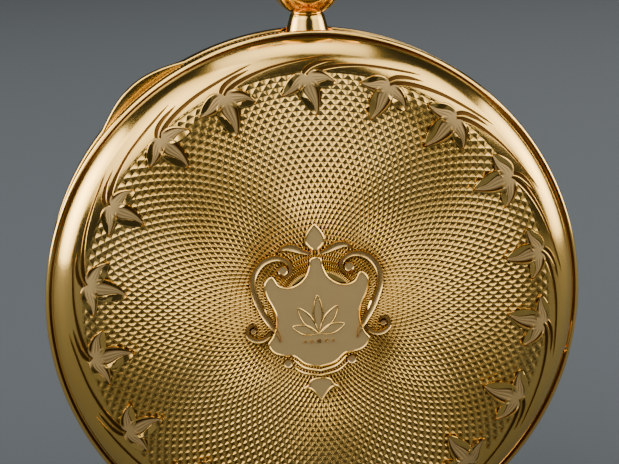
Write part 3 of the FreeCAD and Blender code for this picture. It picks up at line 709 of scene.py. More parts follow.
@dataclass
class BackSurface:
    """The outside of the back cover: a shallow dome and a round shoulder."""

    top: float
    field_r: float = 20.5
    field_drop: float = 0.8
    shoulder_r: float = 24.3
    shoulder_drop: float = 3.25
    bend_r: float = 23.3
    bend_drop: float = 1.4

    def height(self, radius: float) -> float:
        """Height of the surface at a radius."""
        if radius <= self.field_r:
            return self.top - self.field_drop * (radius / self.field_r) ** 2
        start, bend, end = self.field_r, self.bend_r, self.shoulder_r
        a, b, c = start - 2 * bend + end, 2 * (bend - start), start - min(radius, end)
        share = (-b + math.sqrt(max(b * b - 4 * a * c, 0))) / (2 * a)
        drop = (1 - share) ** 2 * self.field_drop + share ** 2 * self.shoulder_drop
        return self.top - drop - 2 * share * (1 - share) * self.bend_drop

    def lift(self, x: float, y: float, above: float) -> Vector:
        """A point above the surface."""
        return Vector((x, y, self.height(math.hypot(x, y)) + above))


class Track:
    """A smooth line through given points, with a width at each."""

    def __init__(self, points: Sequence[tuple[float, float, float]]) -> None:
        """Keep the points, each (x, y, half width)."""
        ends = [tuple(2 * a - b for a, b in zip(points[0], points[1]))]
        tail = [tuple(2 * a - b for a, b in zip(points[-1], points[-2]))]
        self.points = ends + list(points) + tail

    def at(self, share: float) -> Vector:
        """The point and half width at a share of the line."""
        spans = len(self.points) - 3
        span = min(int(share * spans), spans - 1)
        t = share * spans - span
        p0, p1, p2, p3 = (Vector(point) for point in self.points[span:span + 4])
        return 0.5 * (2 * p1 + (p2 - p0) * t + (2 * p0 - 5 * p1 + 4 * p2 - p3) * t * t
                      + (3 * p1 - p0 - 3 * p2 + p3) * t ** 3)

    def frame(self, share: float) -> tuple[Vector, Vector, float]:
        """The middle, the sideways direction and the half width at a share of the line."""
        here = self.at(share)
        ahead = self.at(min(share + 0.01, 1)) - self.at(max(share - 0.01, 0))
        side = Vector((-ahead.y, ahead.x, 0)).normalized()
        return Vector((here.x, here.y, 0)), side, max(here.z, 0.0)


@dataclass
class Graver:
    """Lays cut ribbons, leaves and plates on the back surface."""

    surface: BackSurface
    bm: bmesh.types.BMesh = field(default_factory=bmesh.new)
    sink: float = 0.05

    def __post_init__(self) -> None:
        """Make the layers that the finish reads."""
        self.dirt_and_shade = self.bm.verts.layers.float.new("dirt_and_shade")
        self.satin = self.bm.verts.layers.float.new("satin")

    def _grid(self, length_cuts: int, marks: int, shape: Callable[[int, int], tuple]) -> None:
        """Bend a grid to a shape and give it thickness.

        Args:
            length_cuts: steps along.
            marks: points across.
            shape: gives (place, dirt and painted shade, satin) for a step along and a point across.
        """
        made = bmesh.ops.create_grid(
            self.bm, x_segments=length_cuts, y_segments=marks - 1, size=0.5)["verts"]
        faces = list({face for vert in made for face in vert.link_faces})
        for vert in made:
            along = round((vert.co.x + 0.5) * length_cuts)
            across = round((vert.co.y + 0.5) * (marks - 1))
            vert.co, vert[self.dirt_and_shade], vert[self.satin] = shape(along, across)
        self.face_up(faces)
        bmesh.ops.solidify(self.bm, geom=faces, thickness=self.sink)

    def face_up(self, faces: Sequence[bmesh.types.BMFace]) -> None:
        """Turn a sheet's faces away from the back surface."""
        for face in faces:
            face.normal_update()
        if sum(face.normal.z * face.calc_area() for face in faces) < 0:
            bmesh.ops.reverse_faces(self.bm, faces=faces)

    def ribbon(self, points: Sequence[tuple[float, float, float]], cut: Cut, height: float,
               cuts: int = 24, turn: Matrix | None = None, base: float = 0.0) -> None:
        """Cut a ribbon along a track.

        Args:
            points: (x, y, half width) along the middle.
            cut: the cross-section.
            height: height of the cut's ridge.
            cuts: steps along.
            turn: a turn or mirror in the bench plane.
            base: level that the ribbon stands on, above the surface.
        """
        track, marks = Track(points), cut.value.marks
        turn = turn or Matrix.Identity(4)

        def shape(along: int, across: int) -> tuple:
            """One point of the ribbon."""
            middle, side, half = track.frame(along / cuts)
            place, rise, dirt_and_shade, satin = marks[across]
            spot = turn @ (middle + side * place * half)
            fade = min(1, half / 0.08)
            return self.surface.lift(spot.x, spot.y, base + rise * height * fade), dirt_and_shade, satin

        self._grid(cuts, len(marks), shape)

    def leaf(self, root: Vector, direction: float, length: float, width: float, hook: float,
             height: float) -> None:
        """Cut a pointed leaf: bright bevelled edges round a satin blade with a vein.

        Args:
            root: where the leaf starts.
            direction: where it points, in degrees.
            length: root to tip.
            width: half its greatest width.
            hook: sideways bend of the tip.
            height: height of the edge.
        """
        cuts, marks = 18, Cut.LEAF.value.marks
        ahead = polar(1, direction)
        side = Vector((-ahead.y, ahead.x, 0))

        def shape(along: int, across: int) -> tuple:
            """One point of the leaf: its left facet widens towards the tip."""
            share = along / cuts
            swell = math.sin(math.pi * share ** 0.8) ** 0.75 * (1 - 0.1 * share)
            half = width * (swell + 0.12 * (1 - share))
            place, rise, dirt_and_shade, satin = marks[across]
            if 3 <= across <= 10:
                place -= 0.5 * (place - 0.7) * smooth_step(0.2, 0.8, share)
            open_end = smooth_step(0.3, 0.1, share)
            rise = blend_value(rise, 0.36 if 0 < across < 14 else 0.0, open_end)
            dirt_and_shade, satin = blend_value(dirt_and_shade, 0.25, open_end), blend_value(satin, 1, open_end)
            spot = root + ahead * length * share + side * (place * half + hook * share ** 2.4)
            return self.surface.lift(spot.x, spot.y, rise * height), dirt_and_shade, satin

        self._grid(cuts, len(marks), shape)

    def step_in(self, face: bmesh.types.BMFace, widths: Sequence[float]) -> list[bmesh.types.BMFace]:
        """Ring a face from its edge inwards.

        Args:
            face: the face; it ends up in the middle.
            widths: the rings' widths.

        Returns:
            The rings' faces.
        """
        rings = []
        for width in widths:
            rings += bmesh.ops.inset_region(self.bm, faces=[face], thickness=width,
                                            use_boundary=True, use_even_offset=True)["faces"]
        return rings

    def plate(self, outline: Sequence[Point], level: float, bevel: float, turn: Matrix) -> None:
        """Lay a satin plate with a bevelled edge.

        Args:
            outline: corners of the plate, joined smoothly.
            level: height of its face.
            bevel: width of its edge.
            turn: its turn in the bench plane.
        """
        verts = [self.bm.verts.new(turn @ Vector((x, y, 0))) for x, y in outline]
        face = self.bm.faces.new(verts)
        faces = self.step_in(face, (bevel, 0.25))
        faces += bmesh.ops.triangulate(self.bm, faces=[face])["faces"]
        for vert in {vert for part in faces for vert in part.verts}:
            rim = vert.is_boundary
            # Painted shade along the plate's sunk rim, the face itself only faintly darkened.
            vert[self.dirt_and_shade], vert[self.satin] = (0.8, 0.0) if rim else (0.05, 1.0)
            vert.co = self.surface.lift(vert.co.x, vert.co.y, 0.0 if rim else level)
        self.face_up(faces)

    def button(self, centre: Vector, radius: float, height: float) -> None:
        """Cut a round button with a bright edge."""
        made = bmesh.ops.create_circle(self.bm, cap_ends=True, radius=radius, segments=20)["verts"]
        middle = next(iter(made[0].link_faces))
        faces = [middle, *self.step_in(middle, (radius * 0.16, radius * 0.2))]
        for vert in {vert for face in faces for vert in face.verts}:
            out = vert.co.length / radius
            above, vert[self.dirt_and_shade], vert[self.satin] = height * 0.55, 0.2, 1
            # Painted shade in the crease round the button's foot.
            if out > 0.95:
                above, vert[self.dirt_and_shade], vert[self.satin] = 0, 0.9, 0
            elif out > 0.75:
                above, vert[self.dirt_and_shade], vert[self.satin] = height, 0, 0
            vert.co = self.surface.lift(vert.co.x + centre.x, vert.co.y + centre.y, above)
        self.face_up(faces)


def smooth_outline(corners: Sequence[Point], cuts: int) -> list[Point]:
    """A closed smooth outline through corners.

    Args:
        corners: the corners in order, not repeated at the end.
        cuts: points for each side.

    Returns:
        The outline's points.
    """
    count = len(corners)
    points = []
    for index in range(count):
        span = Track([(*corners[(index + shift) % count], 0) for shift in (-1, 0, 1, 2)])
        points += [tuple(span.at((1 + cut / cuts) / 3).xy) for cut in range(cuts)]
    return points


# ------------------------------------------------------------------ back cover

@dataclass
class BackCover:
    """The engraved, engine-turned back."""

    box: Extent = field(default_factory=lambda: Extent.of("back_cover"))
    wall: float = 0.5
    groove_r: float = 24.16
    bead_r: float = 0.42
    foot_r: float = 24.3
    bore_r: float = 23.8
    under_field: float = 0.2
    waves: int = 132
    steps_per_wave: int = 8
    ring_pitch: float = 0.47
    field_in: float = 3.3
    field_out: float = 21.6
    groove: float = 0.115
    wave_reach: float = 0.40
    sprig_r: float = 21.1
    sprig_first: float = 92.0
    leans: tuple[float, ...] = (
        6, -13, -4, -8, -14, -10, -18, -12, -8, -12, -10, -12, -3, -17, -9, -23, -20, -19)
    stem: tuple[tuple[float, float, float], ...] = (
        (0, 0.12, 0.16), (1.5, 0.42, 0.25), (4.0, 0.72, 0.24), (8.0, 1.0, 0.19), (13.0, 1.25, 0.15),
        (18.5, 1.45, 0.12), (24.0, 1.72, 0.08), (27.0, 1.9, 0.02))
    short_stem: tuple[tuple[float, float, float], ...] = (
        (-1.1, 0.02, 0.12), (-0.5, 0.5, 0.24), (1.2, 0.95, 0.24), (4.0, 1.28, 0.16), (7.5, 1.5, 0.02))

    def __post_init__(self) -> None:
        """Read the surface from the frame's box."""
        self.rim_r = -self.box.low.x
        self.foot = self.box.low.z + 0.55
        self.surface = BackSurface(top=self.box.high.z)

    def build(self) -> None:
        """Build and place every piece of the cover."""
        self.build_shell()
        self.build_field()
        self.build_border()
        Shield(self.surface).build()

    def build_shell(self) -> None:
        """The plain shell: dome under the field, shoulder, groove, bead and inner side."""
        top, s = self.surface.top, self.surface
        low_edge = top - s.shoulder_drop
        profile = Profile(0, top - self.under_field)
        seat_r = self.field_out - 0.2
        profile.curve((10.2, top - self.under_field), (seat_r, s.height(seat_r) - self.under_field), 8)
        for cut in range(25):
            radius = blend_value(self.field_out - 0.1, s.shoulder_r, 1 - (1 - cut / 24) ** 1.7)
            profile.line(radius, s.height(radius))
        profile.line(self.groove_r, low_edge - 0.14).line(self.groove_r, low_edge - 0.26)
        profile.line(self.groove_r + 0.26, low_edge - 0.34)
        profile.bead((self.rim_r - self.bead_r, self.foot + self.bead_r), self.bead_r, 80, -70, 10)
        profile.line(self.foot_r, self.foot).line(self.bore_r + 0.1, self.foot).line(self.bore_r, 9.6)
        profile.curve((23.2, 11.2), (20.3, top - s.field_drop - self.wall), 10)
        profile.curve((10.2, top - self.wall), (0, top - self.wall), 6)
        bm = lathe(profile, 360, closed=False)
        # Painted shade in the groove inside the bead: the gold darkens close to it.
        layer = bm.verts.layers.float.new("dirt_and_shade")
        for vert in bm.verts:
            radius = math.hypot(vert.co.x, vert.co.y)
            away = math.hypot(radius - self.groove_r, vert.co.z - (low_edge - 0.2))
            vert[layer] = 0.8 * smooth_step(0.3, 0.0, away)
        shell = Piece("back_shell", "back_cover", "case_gold", Finish.CASE, ("back_cover",)).place(bm)
        drill(shell, Hinge.BACK.room_in_cover())
        join(shell, Hinge.BACK.cover_barrels())

    def build_field(self) -> None:
        """The engine-turned field: rings of lens-shaped pits between wavy ridges, with painted shade in the
        pits.
        """
        rings = round((self.field_out - self.field_in) / self.ring_pitch)
        profile = Profile(self.field_in, 0).line(self.field_out, 0, rings * 2)
        profile.line(self.field_out, -1).line(self.field_in, -1)
        bm = lathe(profile, self.waves * self.steps_per_wave)
        dirt_and_shade = bm.verts.layers.float.new("dirt_and_shade")
        for vert in bm.verts:
            radius, turn = math.hypot(vert.co.x, vert.co.y), math.atan2(vert.co.y, vert.co.x)
            if vert.co.z < -0.5:
                vert.co.z = self.surface.height(radius) - 0.3
                continue
            row = round((radius - self.field_in) / self.ring_pitch * 2)
            vert.co, vert[dirt_and_shade] = self.grain(row, rings * 2, turn)
        face_out(bm)
        Piece("engine_turned_field", "back_cover", "case_gold", Finish.FIELD, sharp=12).place(bm)

    def cut_radius(self, ring: int, turn: float) -> float:
        """Radius of one wavy ridge at a direction."""
        wave = math.cos(self.waves * turn + math.pi * ring)
        return self.field_in + self.ring_pitch * (ring + self.wave_reach * wave)

    def grain(self, row: int, last: int, turn: float) -> tuple[Vector, float]:
        """Place and painted shade of one point of the field.

        Args:
            row: rows count from the inside; even ones are ridges, odd ones the bottoms of pits.
            last: the outermost row.
            turn: direction in radians.

        Returns:
            The point and how much painted shade darkens it.
        """
        ring = row // 2
        inner, outer = self.cut_radius(ring, turn), self.cut_radius(ring + 1, turn)
        radius = inner if row % 2 == 0 else (inner + outer) / 2
        if row in (0, last):
            radius = self.field_in + self.ring_pitch * ring
        deep = 0.0 if row % 2 == 0 else (outer - inner) / (self.ring_pitch * (1 + 2 * self.wave_reach))
        left = self.wear(radius, turn) * self.inside_stems(radius, turn)
        above = self.groove * (0.3 - 1.3 * deep) * left
        # Painted shade: each pit darkens with its depth, so the facets by the ridges stay bright.
        dirt_and_shade = deep * left
        return self.surface.lift(radius * math.cos(turn), radius * math.sin(turn), above), dirt_and_shade

    def sprig_angle(self, index: int) -> float:
        """Direction of one sprig's joint, in degrees."""
        return self.sprig_first + index * 360 / len(self.leans) + 0.8 * math.sin(2.1 * index)

    def inside_stems(self, radius: float, turn: float) -> float:
        """1 inside the line of the long stems, 0 outside it."""
        past = min((self.sprig_angle(index) - math.degrees(turn)) % 360 for index in range(len(self.leans)))
        for (start, low, _), (end, high, _) in zip(self.stem, self.stem[1:]):
            if start <= past < end:
                edge = self.sprig_r + blend_value(low, high, (past - start) / (end - start))
                return smooth_step(edge + 0.05, edge - 0.25, radius) if radius > self.sprig_r - 0.5 else 1.0
        return 1.0

    @staticmethod
    def wear(radius: float, turn: float) -> float:
        """How much of the pattern is left: it is rubbed thin along the outer edge, most at the top."""
        edge = smooth_step(18.6, 21.4, radius)
        patch = 0.5 + 0.3 * math.sin(turn) + 0.15 * math.sin(3 * turn + 1.1)
        return 1 - 0.4 * edge * min(max(patch, 0), 1)

    def build_border(self) -> None:
        """The border of three-leaf sprigs on sweeping stems."""
        graver = Graver(self.surface)
        for index, lean in enumerate(self.leans):
            self.cut_sprig(graver, self.sprig_angle(index), lean, 1 + 0.05 * math.sin(1.7 * index))
        Piece("engraved_border", "back_cover", "case_gold", Finish.CASE, sharp=24).place(graver.bm)

    def cut_sprig(self, graver: Graver, angle: float, lean: float, size: float) -> None:
        """Cut one sprig: three leaves and two stems.

        Args:
            graver: the tool.
            angle: direction of the sprig's joint.
            lean: how far its middle leaf leans from pointing to the middle of the back.
            size: its size against the rest.
        """
        joint = polar(self.sprig_r, angle)
        inwards = angle + 180 + lean
        graver.leaf(joint, inwards, 3.55 * size, 1.05 * size, 0.3, 0.19)
        graver.leaf(joint, inwards - 70, 2.8 * size, 0.82 * size, 0.35, 0.17)
        graver.leaf(joint, inwards + 76, 2.7 * size, 0.80 * size, -0.3, 0.17)
        for stem, cuts in ((self.stem, 40), (self.short_stem, 20)):
            points = []
            for turn, out, half in stem:
                spot = polar(self.sprig_r + out, angle - turn)
                points.append((spot.x, spot.y, half))
            graver.ribbon(points, Cut.STEM, 0.06, cuts)


@dataclass
class Shield:
    """The scrolled shield in the middle of the back, with a plain flourish on it."""

    surface: BackSurface
    centre: Point = (-0.2, -0.25)
    lean: float = 1.6
    level: float = 0.12

    def __post_init__(self) -> None:
        """Make the shield's own place on the back."""
        lean = Matrix.Rotation(math.radians(self.lean), 4, "Z")
        self.turns = (Matrix.Translation((*self.centre, 0)) @ lean,
                      Matrix.Translation((*self.centre, 0)) @ lean @ Matrix.Scale(-1, 4, (1, 0, 0)))

    def build(self) -> None:
        """Cut the shield, its scrolls and its flourish."""
        graver = Graver(self.surface)
        half = [(0, 4.92), (0.45, 4.72), (0.55, 4.1), (0.95, 3.15), (1.7, 2.48), (2.65, 2.2), (3.55, 2.5),
                (4.1, 3.3), (4.72, 2.65), (4.6, 1.6), (4.1, 0.55), (3.78, -0.4), (3.85, -1.4), (4.2, -2.3),
                (4.62, -3.0), (4.15, -3.75), (3.2, -4.1), (2.35, -4.2), (1.35, -5.0), (0, -5.32)]
        whole = half + [(-x, y) for x, y in half[-2:0:-1]]
        graver.plate(smooth_outline(whole, 4), self.level, 0.14, self.turns[0])
        edge = [(x, y, 0.13) for x, y in half]
        scroll = [(3.35, 3.55, 0.10), (2.75, 3.35, 0.16), (2.3, 3.85, 0.20), (2.55, 4.7, 0.26),
                  (3.6, 5.15, 0.32), (4.9, 4.75, 0.36), (5.75, 3.6, 0.37), (5.85, 2.2, 0.34),
                  (5.4, 0.8, 0.36), (4.8, -0.4, 0.38), (4.25, -1.3, 0.30), (3.75, -2.1, 0.22),
                  (3.5, -2.9, 0.03)]
        curl = [(4.35, -1.7, 0.12), (4.95, -2.35, 0.24), (5.8, -2.45, 0.28), (6.5, -1.95, 0.24),
                (6.45, -1.25, 0.19), (5.9, -1.05, 0.14), (5.6, -1.5, 0.05)]
        leaf = [(0.25, 5.3, 0.14), (1.1, 5.55, 0.26), (2.0, 5.95, 0.40), (2.9, 6.0, 0.26), (3.5, 5.6, 0.02)]
        spade = [(0, 8.0, 0.14), (0.62, 7.2, 0.15), (0.85, 6.45, 0.16), (0.55, 5.95, 0.15), (0.28, 5.7, 0.14),
                 (0.3, 5.2, 0.12)]
        twig = [(5.2, 1.1, 0.03), (4.9, 0.4, 0.16), (4.62, -0.2, 0.13), (4.2, -0.6, 0.02)]
        lower = [(2.5, -4.45, 0.10), (1.5, -5.35, 0.16), (0, -5.75, 0.17)]
        lowest = [(2.6, -5.1, 0.08), (1.6, -5.85, 0.13), (0, -6.2, 0.14)]
        drop = [(0, -6.45, 0.12), (0.8, -6.6, 0.13), (1.2, -7.15, 0.13), (1.55, -7.35, 0.12),
                (0.9, -7.45, 0.14), (0, -8.6, 0.13)]
        ribbons = ((edge, Cut.RIDGE, 0.19, 90), (scroll, Cut.SCROLL, 0.26, 60), (curl, Cut.SCROLL, 0.22, 30),
                   (leaf, Cut.SCROLL, 0.2, 20), (spade, Cut.RIDGE, 0.2, 30), (twig, Cut.RIDGE, 0.3, 12),
                   (lower, Cut.RIDGE, 0.2, 16), (lowest, Cut.RIDGE, 0.16, 16), (drop, Cut.RIDGE, 0.17, 24))
        buttons = (((3.05, 3.9, 0), 0.52, 0.24), ((2.95, -4.85, 0), 0.46, 0.2), ((6.0, -1.6, 0), 0.3, 0.2))
        for turn in self.turns:
            for points, cut, height, cuts in ribbons:
                graver.ribbon(points, cut, height, cuts, turn)
            for spot, radius, height in buttons:
                graver.button(turn @ Vector(spot), radius, height)
        self.fill(graver, [(0, 7.8), (0.6, 7.15), (0.8, 6.45), (0.3, 5.8), (0, 5.6)])
        self.fill(graver, [(0, -6.5), (0.8, -6.7), (1.2, -7.2), (0.8, -7.5), (0, -8.4)])
        self.cut_flourish(graver)
        Piece("engraved_shield", "back_cover", "case_gold", Finish.CASE, sharp=24).place(graver.bm)

    def fill(self, graver: Graver, half: Sequence[Point]) -> None:
        """Fill an ornament with a small satin plate, given one half of it."""
        whole = list(half) + [(-x, y) for x, y in list(half)[-2:0:-1]]
        graver.plate(smooth_outline(whole, 3), self.level * 0.8, 0.06, self.turns[0])

    def cut_flourish(self, graver: Graver) -> None:
        """Cut a plain palmette: closed petals that fan out from a foot, with dots under it."""
        foot = Matrix.Translation((0, -2.2, 0))
        for lean, length in ((0, 3.6), (36, 3.1), (72, 2.5)):
            petal = [(0, 0, 0.03), (0.32, length * 0.3, 0.08), (0.42, length * 0.62, 0.09), (0, length, 0.05),
                     (-0.42, length * 0.62, 0.09), (-0.32, length * 0.3, 0.08), (0, 0, 0.03)]
            fan = foot @ Matrix.Rotation(math.radians(lean), 4, "Z")
            for turn in self.turns:
                graver.ribbon(petal, Cut.HAIR, 0.06, 36, turn @ fan, self.level)
        for x, radius in ((0, 0.2), (0.7, 0.16), (1.3, 0.12)):
            for turn in self.turns:
                graver.button(turn @ Vector((x, -2.9, 0)), radius, self.level + 0.1)


# ------------------------------------------------------------------ case

@dataclass
class CaseBand:
    """The milled band with its inner flanges and hinge barrels."""

    box: Extent = field(default_factory=lambda: Extent.of("case_middle"))
    teeth: int = 400
    tooth: float = 0.10
    mill_low: float = 5.95
    mill_high: float = 8.35
    low: float = 5.7
    high: float = 8.6
    wall_r: float = 23.3
    skirt_r: float = 23.8
    back_flange: tuple[float, float] = (21.3, 7.9)
    plate_flange: tuple[float, float] = (20.0, 6.4)
    dial_flange: tuple[float, float] = (21.45, 4.2)
    dial_edge: float = 3.4

    def build(self) -> None:
        """Build and place the band."""
        outer, low, high, wall = -self.box.low.x, self.low, self.high, self.wall_r
        profile = Profile(outer - 0.1, low).line(outer, low + 0.1).line(outer, self.mill_low)
        profile.line(outer, self.mill_low + 0.12).line(outer, self.mill_high - 0.12, 3)
        profile.line(outer, self.mill_high)
        profile.line(outer, high - 0.1).line(outer - 0.1, high)
        (back_bore, back_floor), (plate_bore, plate_top) = self.back_flange, self.plate_flange
        dial_bore, dial_top = self.dial_flange
        profile.line(back_bore, high).line(back_bore, back_floor).line(wall, back_floor)
        profile.line(wall, plate_top).line(plate_bore, plate_top).line(plate_bore, low).line(wall, low)
        profile.line(wall, dial_top).line(dial_bore, dial_top).line(dial_bore, self.dial_edge)
        profile.line(self.skirt_r, self.dial_edge).line(self.skirt_r, low)
        bm = lathe(profile, self.teeth * 4)
        dirt_and_shade = bm.verts.layers.float.new("dirt_and_shade")
        for vert in bm.verts:
            radius, turn = math.hypot(vert.co.x, vert.co.y), math.atan2(vert.co.y, vert.co.x)
            if radius < outer - 0.01 or not self.mill_low + 0.05 < vert.co.z < self.mill_high - 0.05:
                continue
            valley = 0.5 - 0.5 * math.cos(self.teeth * turn)
            vert.co.xy *= (outer - self.tooth * valley) / radius
            # Painted shade in the valleys between the teeth.
            vert[dirt_and_shade] = 0.85 * valley
        band = Piece("milled_band", "case", "case_gold", Finish.CASE, ("case_middle",), 40).place(bm)
        drill(band, Hinge.BACK.room_in_band())
        drill(band, Hinge.BEZEL.room_in_band())
        for hinge in (Hinge.BACK, Hinge.BEZEL, Hinge.DUST):
            join(band, hinge.case_barrel(), 40)


@dataclass
class Bezel:
    """The ring round the crystal, with its thumb lip."""

    box: Extent = field(default_factory=lambda: Extent.of("bezel"))
    stem_h: float = 6.1
    notch_r: float = 2.4
    lip_angle: float = 129.0
    lip_half: float = 11.5
    lip_reach: float = 0.9
    opening_r: float = 19.6
    glass_r: float = 20.3
    glass_seat: float = 1.1
    front: float = 0.7
    skirt_r: float = 24.05
    back: float = 5.6
    dial_room: tuple[float, float] = (21.7, 2.3)
    dial_edge: float = 3.3

    def build(self) -> None:
        """Build and place the bezel and the crystal."""
        outer = -self.box.low.x
        room_r, room_top = self.dial_room
        profile = Profile(self.opening_r, self.glass_seat).line(self.glass_r, self.glass_seat)
        profile.line(self.glass_r, self.front + 0.05).line(self.glass_r + 0.15, self.front)
        profile.line(self.glass_r + 0.5, self.front)
        profile.curve((24.7, 1.2), (outer, 4.4), 22).line(outer, 4.75).line(outer, 5.1).line(outer, 5.3)
        profile.curve((outer, self.back), (outer - 0.25, self.back), 4).line(self.skirt_r, self.back)
        profile.line(self.skirt_r, self.back - 1).line(self.skirt_r, self.dial_edge)
        profile.line(room_r, self.dial_edge).line(room_r, room_top).line(self.opening_r, room_top)
        bm = lathe(profile, 720)
        for vert in bm.verts:
            self.shape_lip(vert, outer)
            self.shape_notch(vert)
        ring = Piece("bezel_ring", "bezel", "case_gold", Finish.CASE, ("bezel",)).place(bm)
        drill(ring, Hinge.BEZEL.room_in_cover())
        join(ring, Hinge.BEZEL.cover_barrels())
        glass = Profile(0, 0).line(18.4, 0).curve((18.6, 0.02), (18.75, 0.12), 3).line(20.2, 0.7)
        glass.line(self.glass_r, 0.8).line(self.glass_r, self.glass_seat).line(0, self.glass_seat)
        bm = lathe(glass, 256, closed=False)
        Piece("crystal_glass", "bezel", "crystal", Finish.CRYSTAL, ("crystal",)).place(bm)

    def shape_lip(self, vert: bmesh.types.BMVert, outer: float) -> None:
        """Draw the back edge out into the thumb lip."""
        radius = math.hypot(vert.co.x, vert.co.y)
        away = abs(math.degrees(math.atan2(vert.co.y, vert.co.x)) - self.lip_angle) / self.lip_half
        if away >= 1 or radius < outer - 0.5:
            return
        swell = math.cos(away * math.pi / 2) ** 1.15
        rise = smooth_step(3.2, 5.15, vert.co.z) ** 1.6
        vert.co.xy *= (radius + self.lip_reach * swell * rise) / radius

    def shape_notch(self, vert: bmesh.types.BMVert) -> None:
        """Lift the skirt clear of the neck."""
        if vert.co.y < 0 or abs(vert.co.x) >= self.notch_r or vert.co.z < 3.5:
            return
        ceiling = self.stem_h - math.sqrt(self.notch_r ** 2 - vert.co.x ** 2)
        vert.co.z = min(vert.co.z, ceiling)


@dataclass
class DustCover:
    """The polished inner cover."""

    def build(self) -> None:
        """Build and place the cover."""
        profile = Profile(0, 10.4).curve((10.5, 10.4), (20.4, 10.2), 10).curve((21.5, 10.2), (21.6, 9.2), 10)
        profile.line(22.45, 9.1).line(22.45, 8.75).line(21.3, 8.75).curve((21.2, 9.85), (20.2, 9.85), 8)
        profile.curve((10.4, 10.05), (0, 10.05), 6)
        bm = lathe(profile, 256, closed=False)
        merge(bm, Hinge.DUST.cover_barrels())
        Piece("dust_cover_shell", "dust_cover", "case_gold", Finish.INSIDE, ("dust_cover",)).place(bm)


# ------------------------------------------------------------------ pendant, bow and crown

@dataclass
class Pendant:
    """Neck and ball, bow, and fluted crown."""

    stem_h: float = 6.1
    ball_y: float = 29.6
    ball_r: float = 3.6
    neck_top_r: float = 1.55
    neck_top_y: float = 26.3
    flat_x: float = 3.0
    bow_r: float = 7.6
    wire_r: float = 1.1
    bow_y: float = 36.6
    eye_x: float = 4.2
    crown_r: float = 3.3
    crown_low: float = 33.1
    crown_high: float = 36.9
    flutes: int = 36

    def build(self) -> None:
        """Build and place the pieces."""
        self.build_pendant()
        self.build_bow()
        self.build_crown()

    def build_pendant(self) -> None:
        """Neck flared into the case, with a thin collar under the ball."""
        profile = Profile(0.95, 23.3).line(2.25, 23.3).line(2.12, 24.1).line(2.02, 24.5)
        profile.line(self.neck_top_r + 0.02, self.neck_top_y - 0.15, 4)
        start = math.degrees(math.asin((self.neck_top_y - self.ball_y) / self.ball_r))
        profile.bead((0, self.ball_y), self.ball_r, start, 66, 26)
        profile.line(1.4, self.ball_y + 3.3).line(1.4, self.ball_y + 0.6).line(0.95, self.ball_y + 0.6)
        bm = lay_along_y(lathe(profile, 128), self.stem_h)
        for side in (-1, 1):
            cut = bmesh.ops.bisect_plane(
                bm, geom=bm.verts[:] + bm.edges[:] + bm.faces[:], dist=1e-4,
                plane_co=(side * self.flat_x, 0, 0), plane_no=(side, 0, 0), clear_outer=True)
            rim = [item for item in cut["geom_cut"] if isinstance(item, bmesh.types.BMEdge)]
            bmesh.ops.edgeloop_fill(bm, edges=rim)
        face_out(bm)
        Piece("pendant_ball", "case", "case_gold", Finish.CASE, ("pendant",)).place(bm)

    def build_bow(self) -> None:
        """The loop of round wire, thicker at the top, with its two eyes."""
        start = math.degrees(math.acos((self.eye_x + 0.35) / self.bow_r))
        bm = bmesh.new()
        bmesh.ops.create_circle(bm, cap_ends=False, radius=self.wire_r, segments=32)
        turn = Matrix.Rotation(math.radians(-start), 4, "Z") @ Matrix.Translation((self.bow_r, 0, 0))
        bmesh.ops.transform(bm, matrix=turn @ Matrix.Rotation(math.pi / 2, 4, "X"), verts=bm.verts[:])
        bmesh.ops.spin(bm, geom=bm.verts[:] + bm.edges[:], cent=(0, 0, 0), axis=(0, 0, 1),
                       angle=math.radians(180 + 2 * start), steps=96)
        for vert in bm.verts:
            turn_here = math.atan2(vert.co.y, vert.co.x)
            middle = Vector((math.cos(turn_here), math.sin(turn_here), 0)) * self.bow_r
            thick = blend_value(0.80, 1.0, smooth_step(-0.9, 0.8, math.sin(turn_here)))
            vert.co = middle + (vert.co - middle) * thick
        bmesh.ops.holes_fill(bm, edges=[edge for edge in bm.edges if edge.is_boundary])
        bmesh.ops.translate(bm, vec=(0, self.bow_y, self.stem_h), verts=bm.verts[:])
        end = self.bow_y - self.bow_r * math.sin(math.radians(start))
        for side in (-1, 1):
            eye = [Vector((side * x, self.ball_y, self.stem_h)) for x in (3.1, 5.6)]
            merge(bm, rod(*eye, 1.25, 48, 0.18))
            foot = Vector((side * (self.eye_x + 0.15), self.ball_y + 0.3, self.stem_h))
            top = Vector((side * (self.eye_x + 0.62), end + 0.55, self.stem_h))
            merge(bm, rod(foot, top, 0.95, 32, 0.1, 0.9))
        face_out(bm)
        Piece("bow_loop", "bow", "case_gold", Finish.CASE, ("bow",)).place(bm)

    def build_crown(self) -> None:
        """The fluted crown with a domed, turned top and its sleeve."""
        low, high, rim = self.crown_low, self.crown_high, self.crown_r
        profile = Profile(0.55, self.ball_y + 0.9).line(1.35, self.ball_y + 0.9).line(1.35, low)
        profile.line(rim - 0.6, low).curve((rim, low), (rim, low + 0.6), 5).line(rim, high - 1.2, 4)
        profile.curve((rim, high - 0.35), (rim - 0.8, high - 0.2), 6).line(rim - 1.0, high - 0.32)
        profile.curve((rim - 1.6, high), (0, high), 8)
        bm = lathe(profile, self.flutes * 8, closed=False)
        bmesh.ops.holes_fill(bm, edges=[edge for edge in bm.edges if edge.is_boundary])
        dirt_and_shade = bm.verts.layers.float.new("dirt_and_shade")
        for vert in bm.verts:
            radius, turn = math.hypot(vert.co.x, vert.co.y), math.atan2(vert.co.y, vert.co.x)
            reach = smooth_step(rim - 0.75, rim - 0.1, radius)
            valley = (0.5 - 0.5 * math.cos(self.flutes * turn)) ** 2 * reach
            if valley > 0:
                vert.co.xy *= (radius - 0.26 * valley) / radius
                # Painted shade in the flutes' valleys.
                vert[dirt_and_shade] = 0.7 * valley
        lay_along_y(bm, self.stem_h)
        Piece("crown_knob", "crown", "case_gold", Finish.CASE, ("crown",), 50).place(bm)


# ------------------------------------------------------------------ dial side

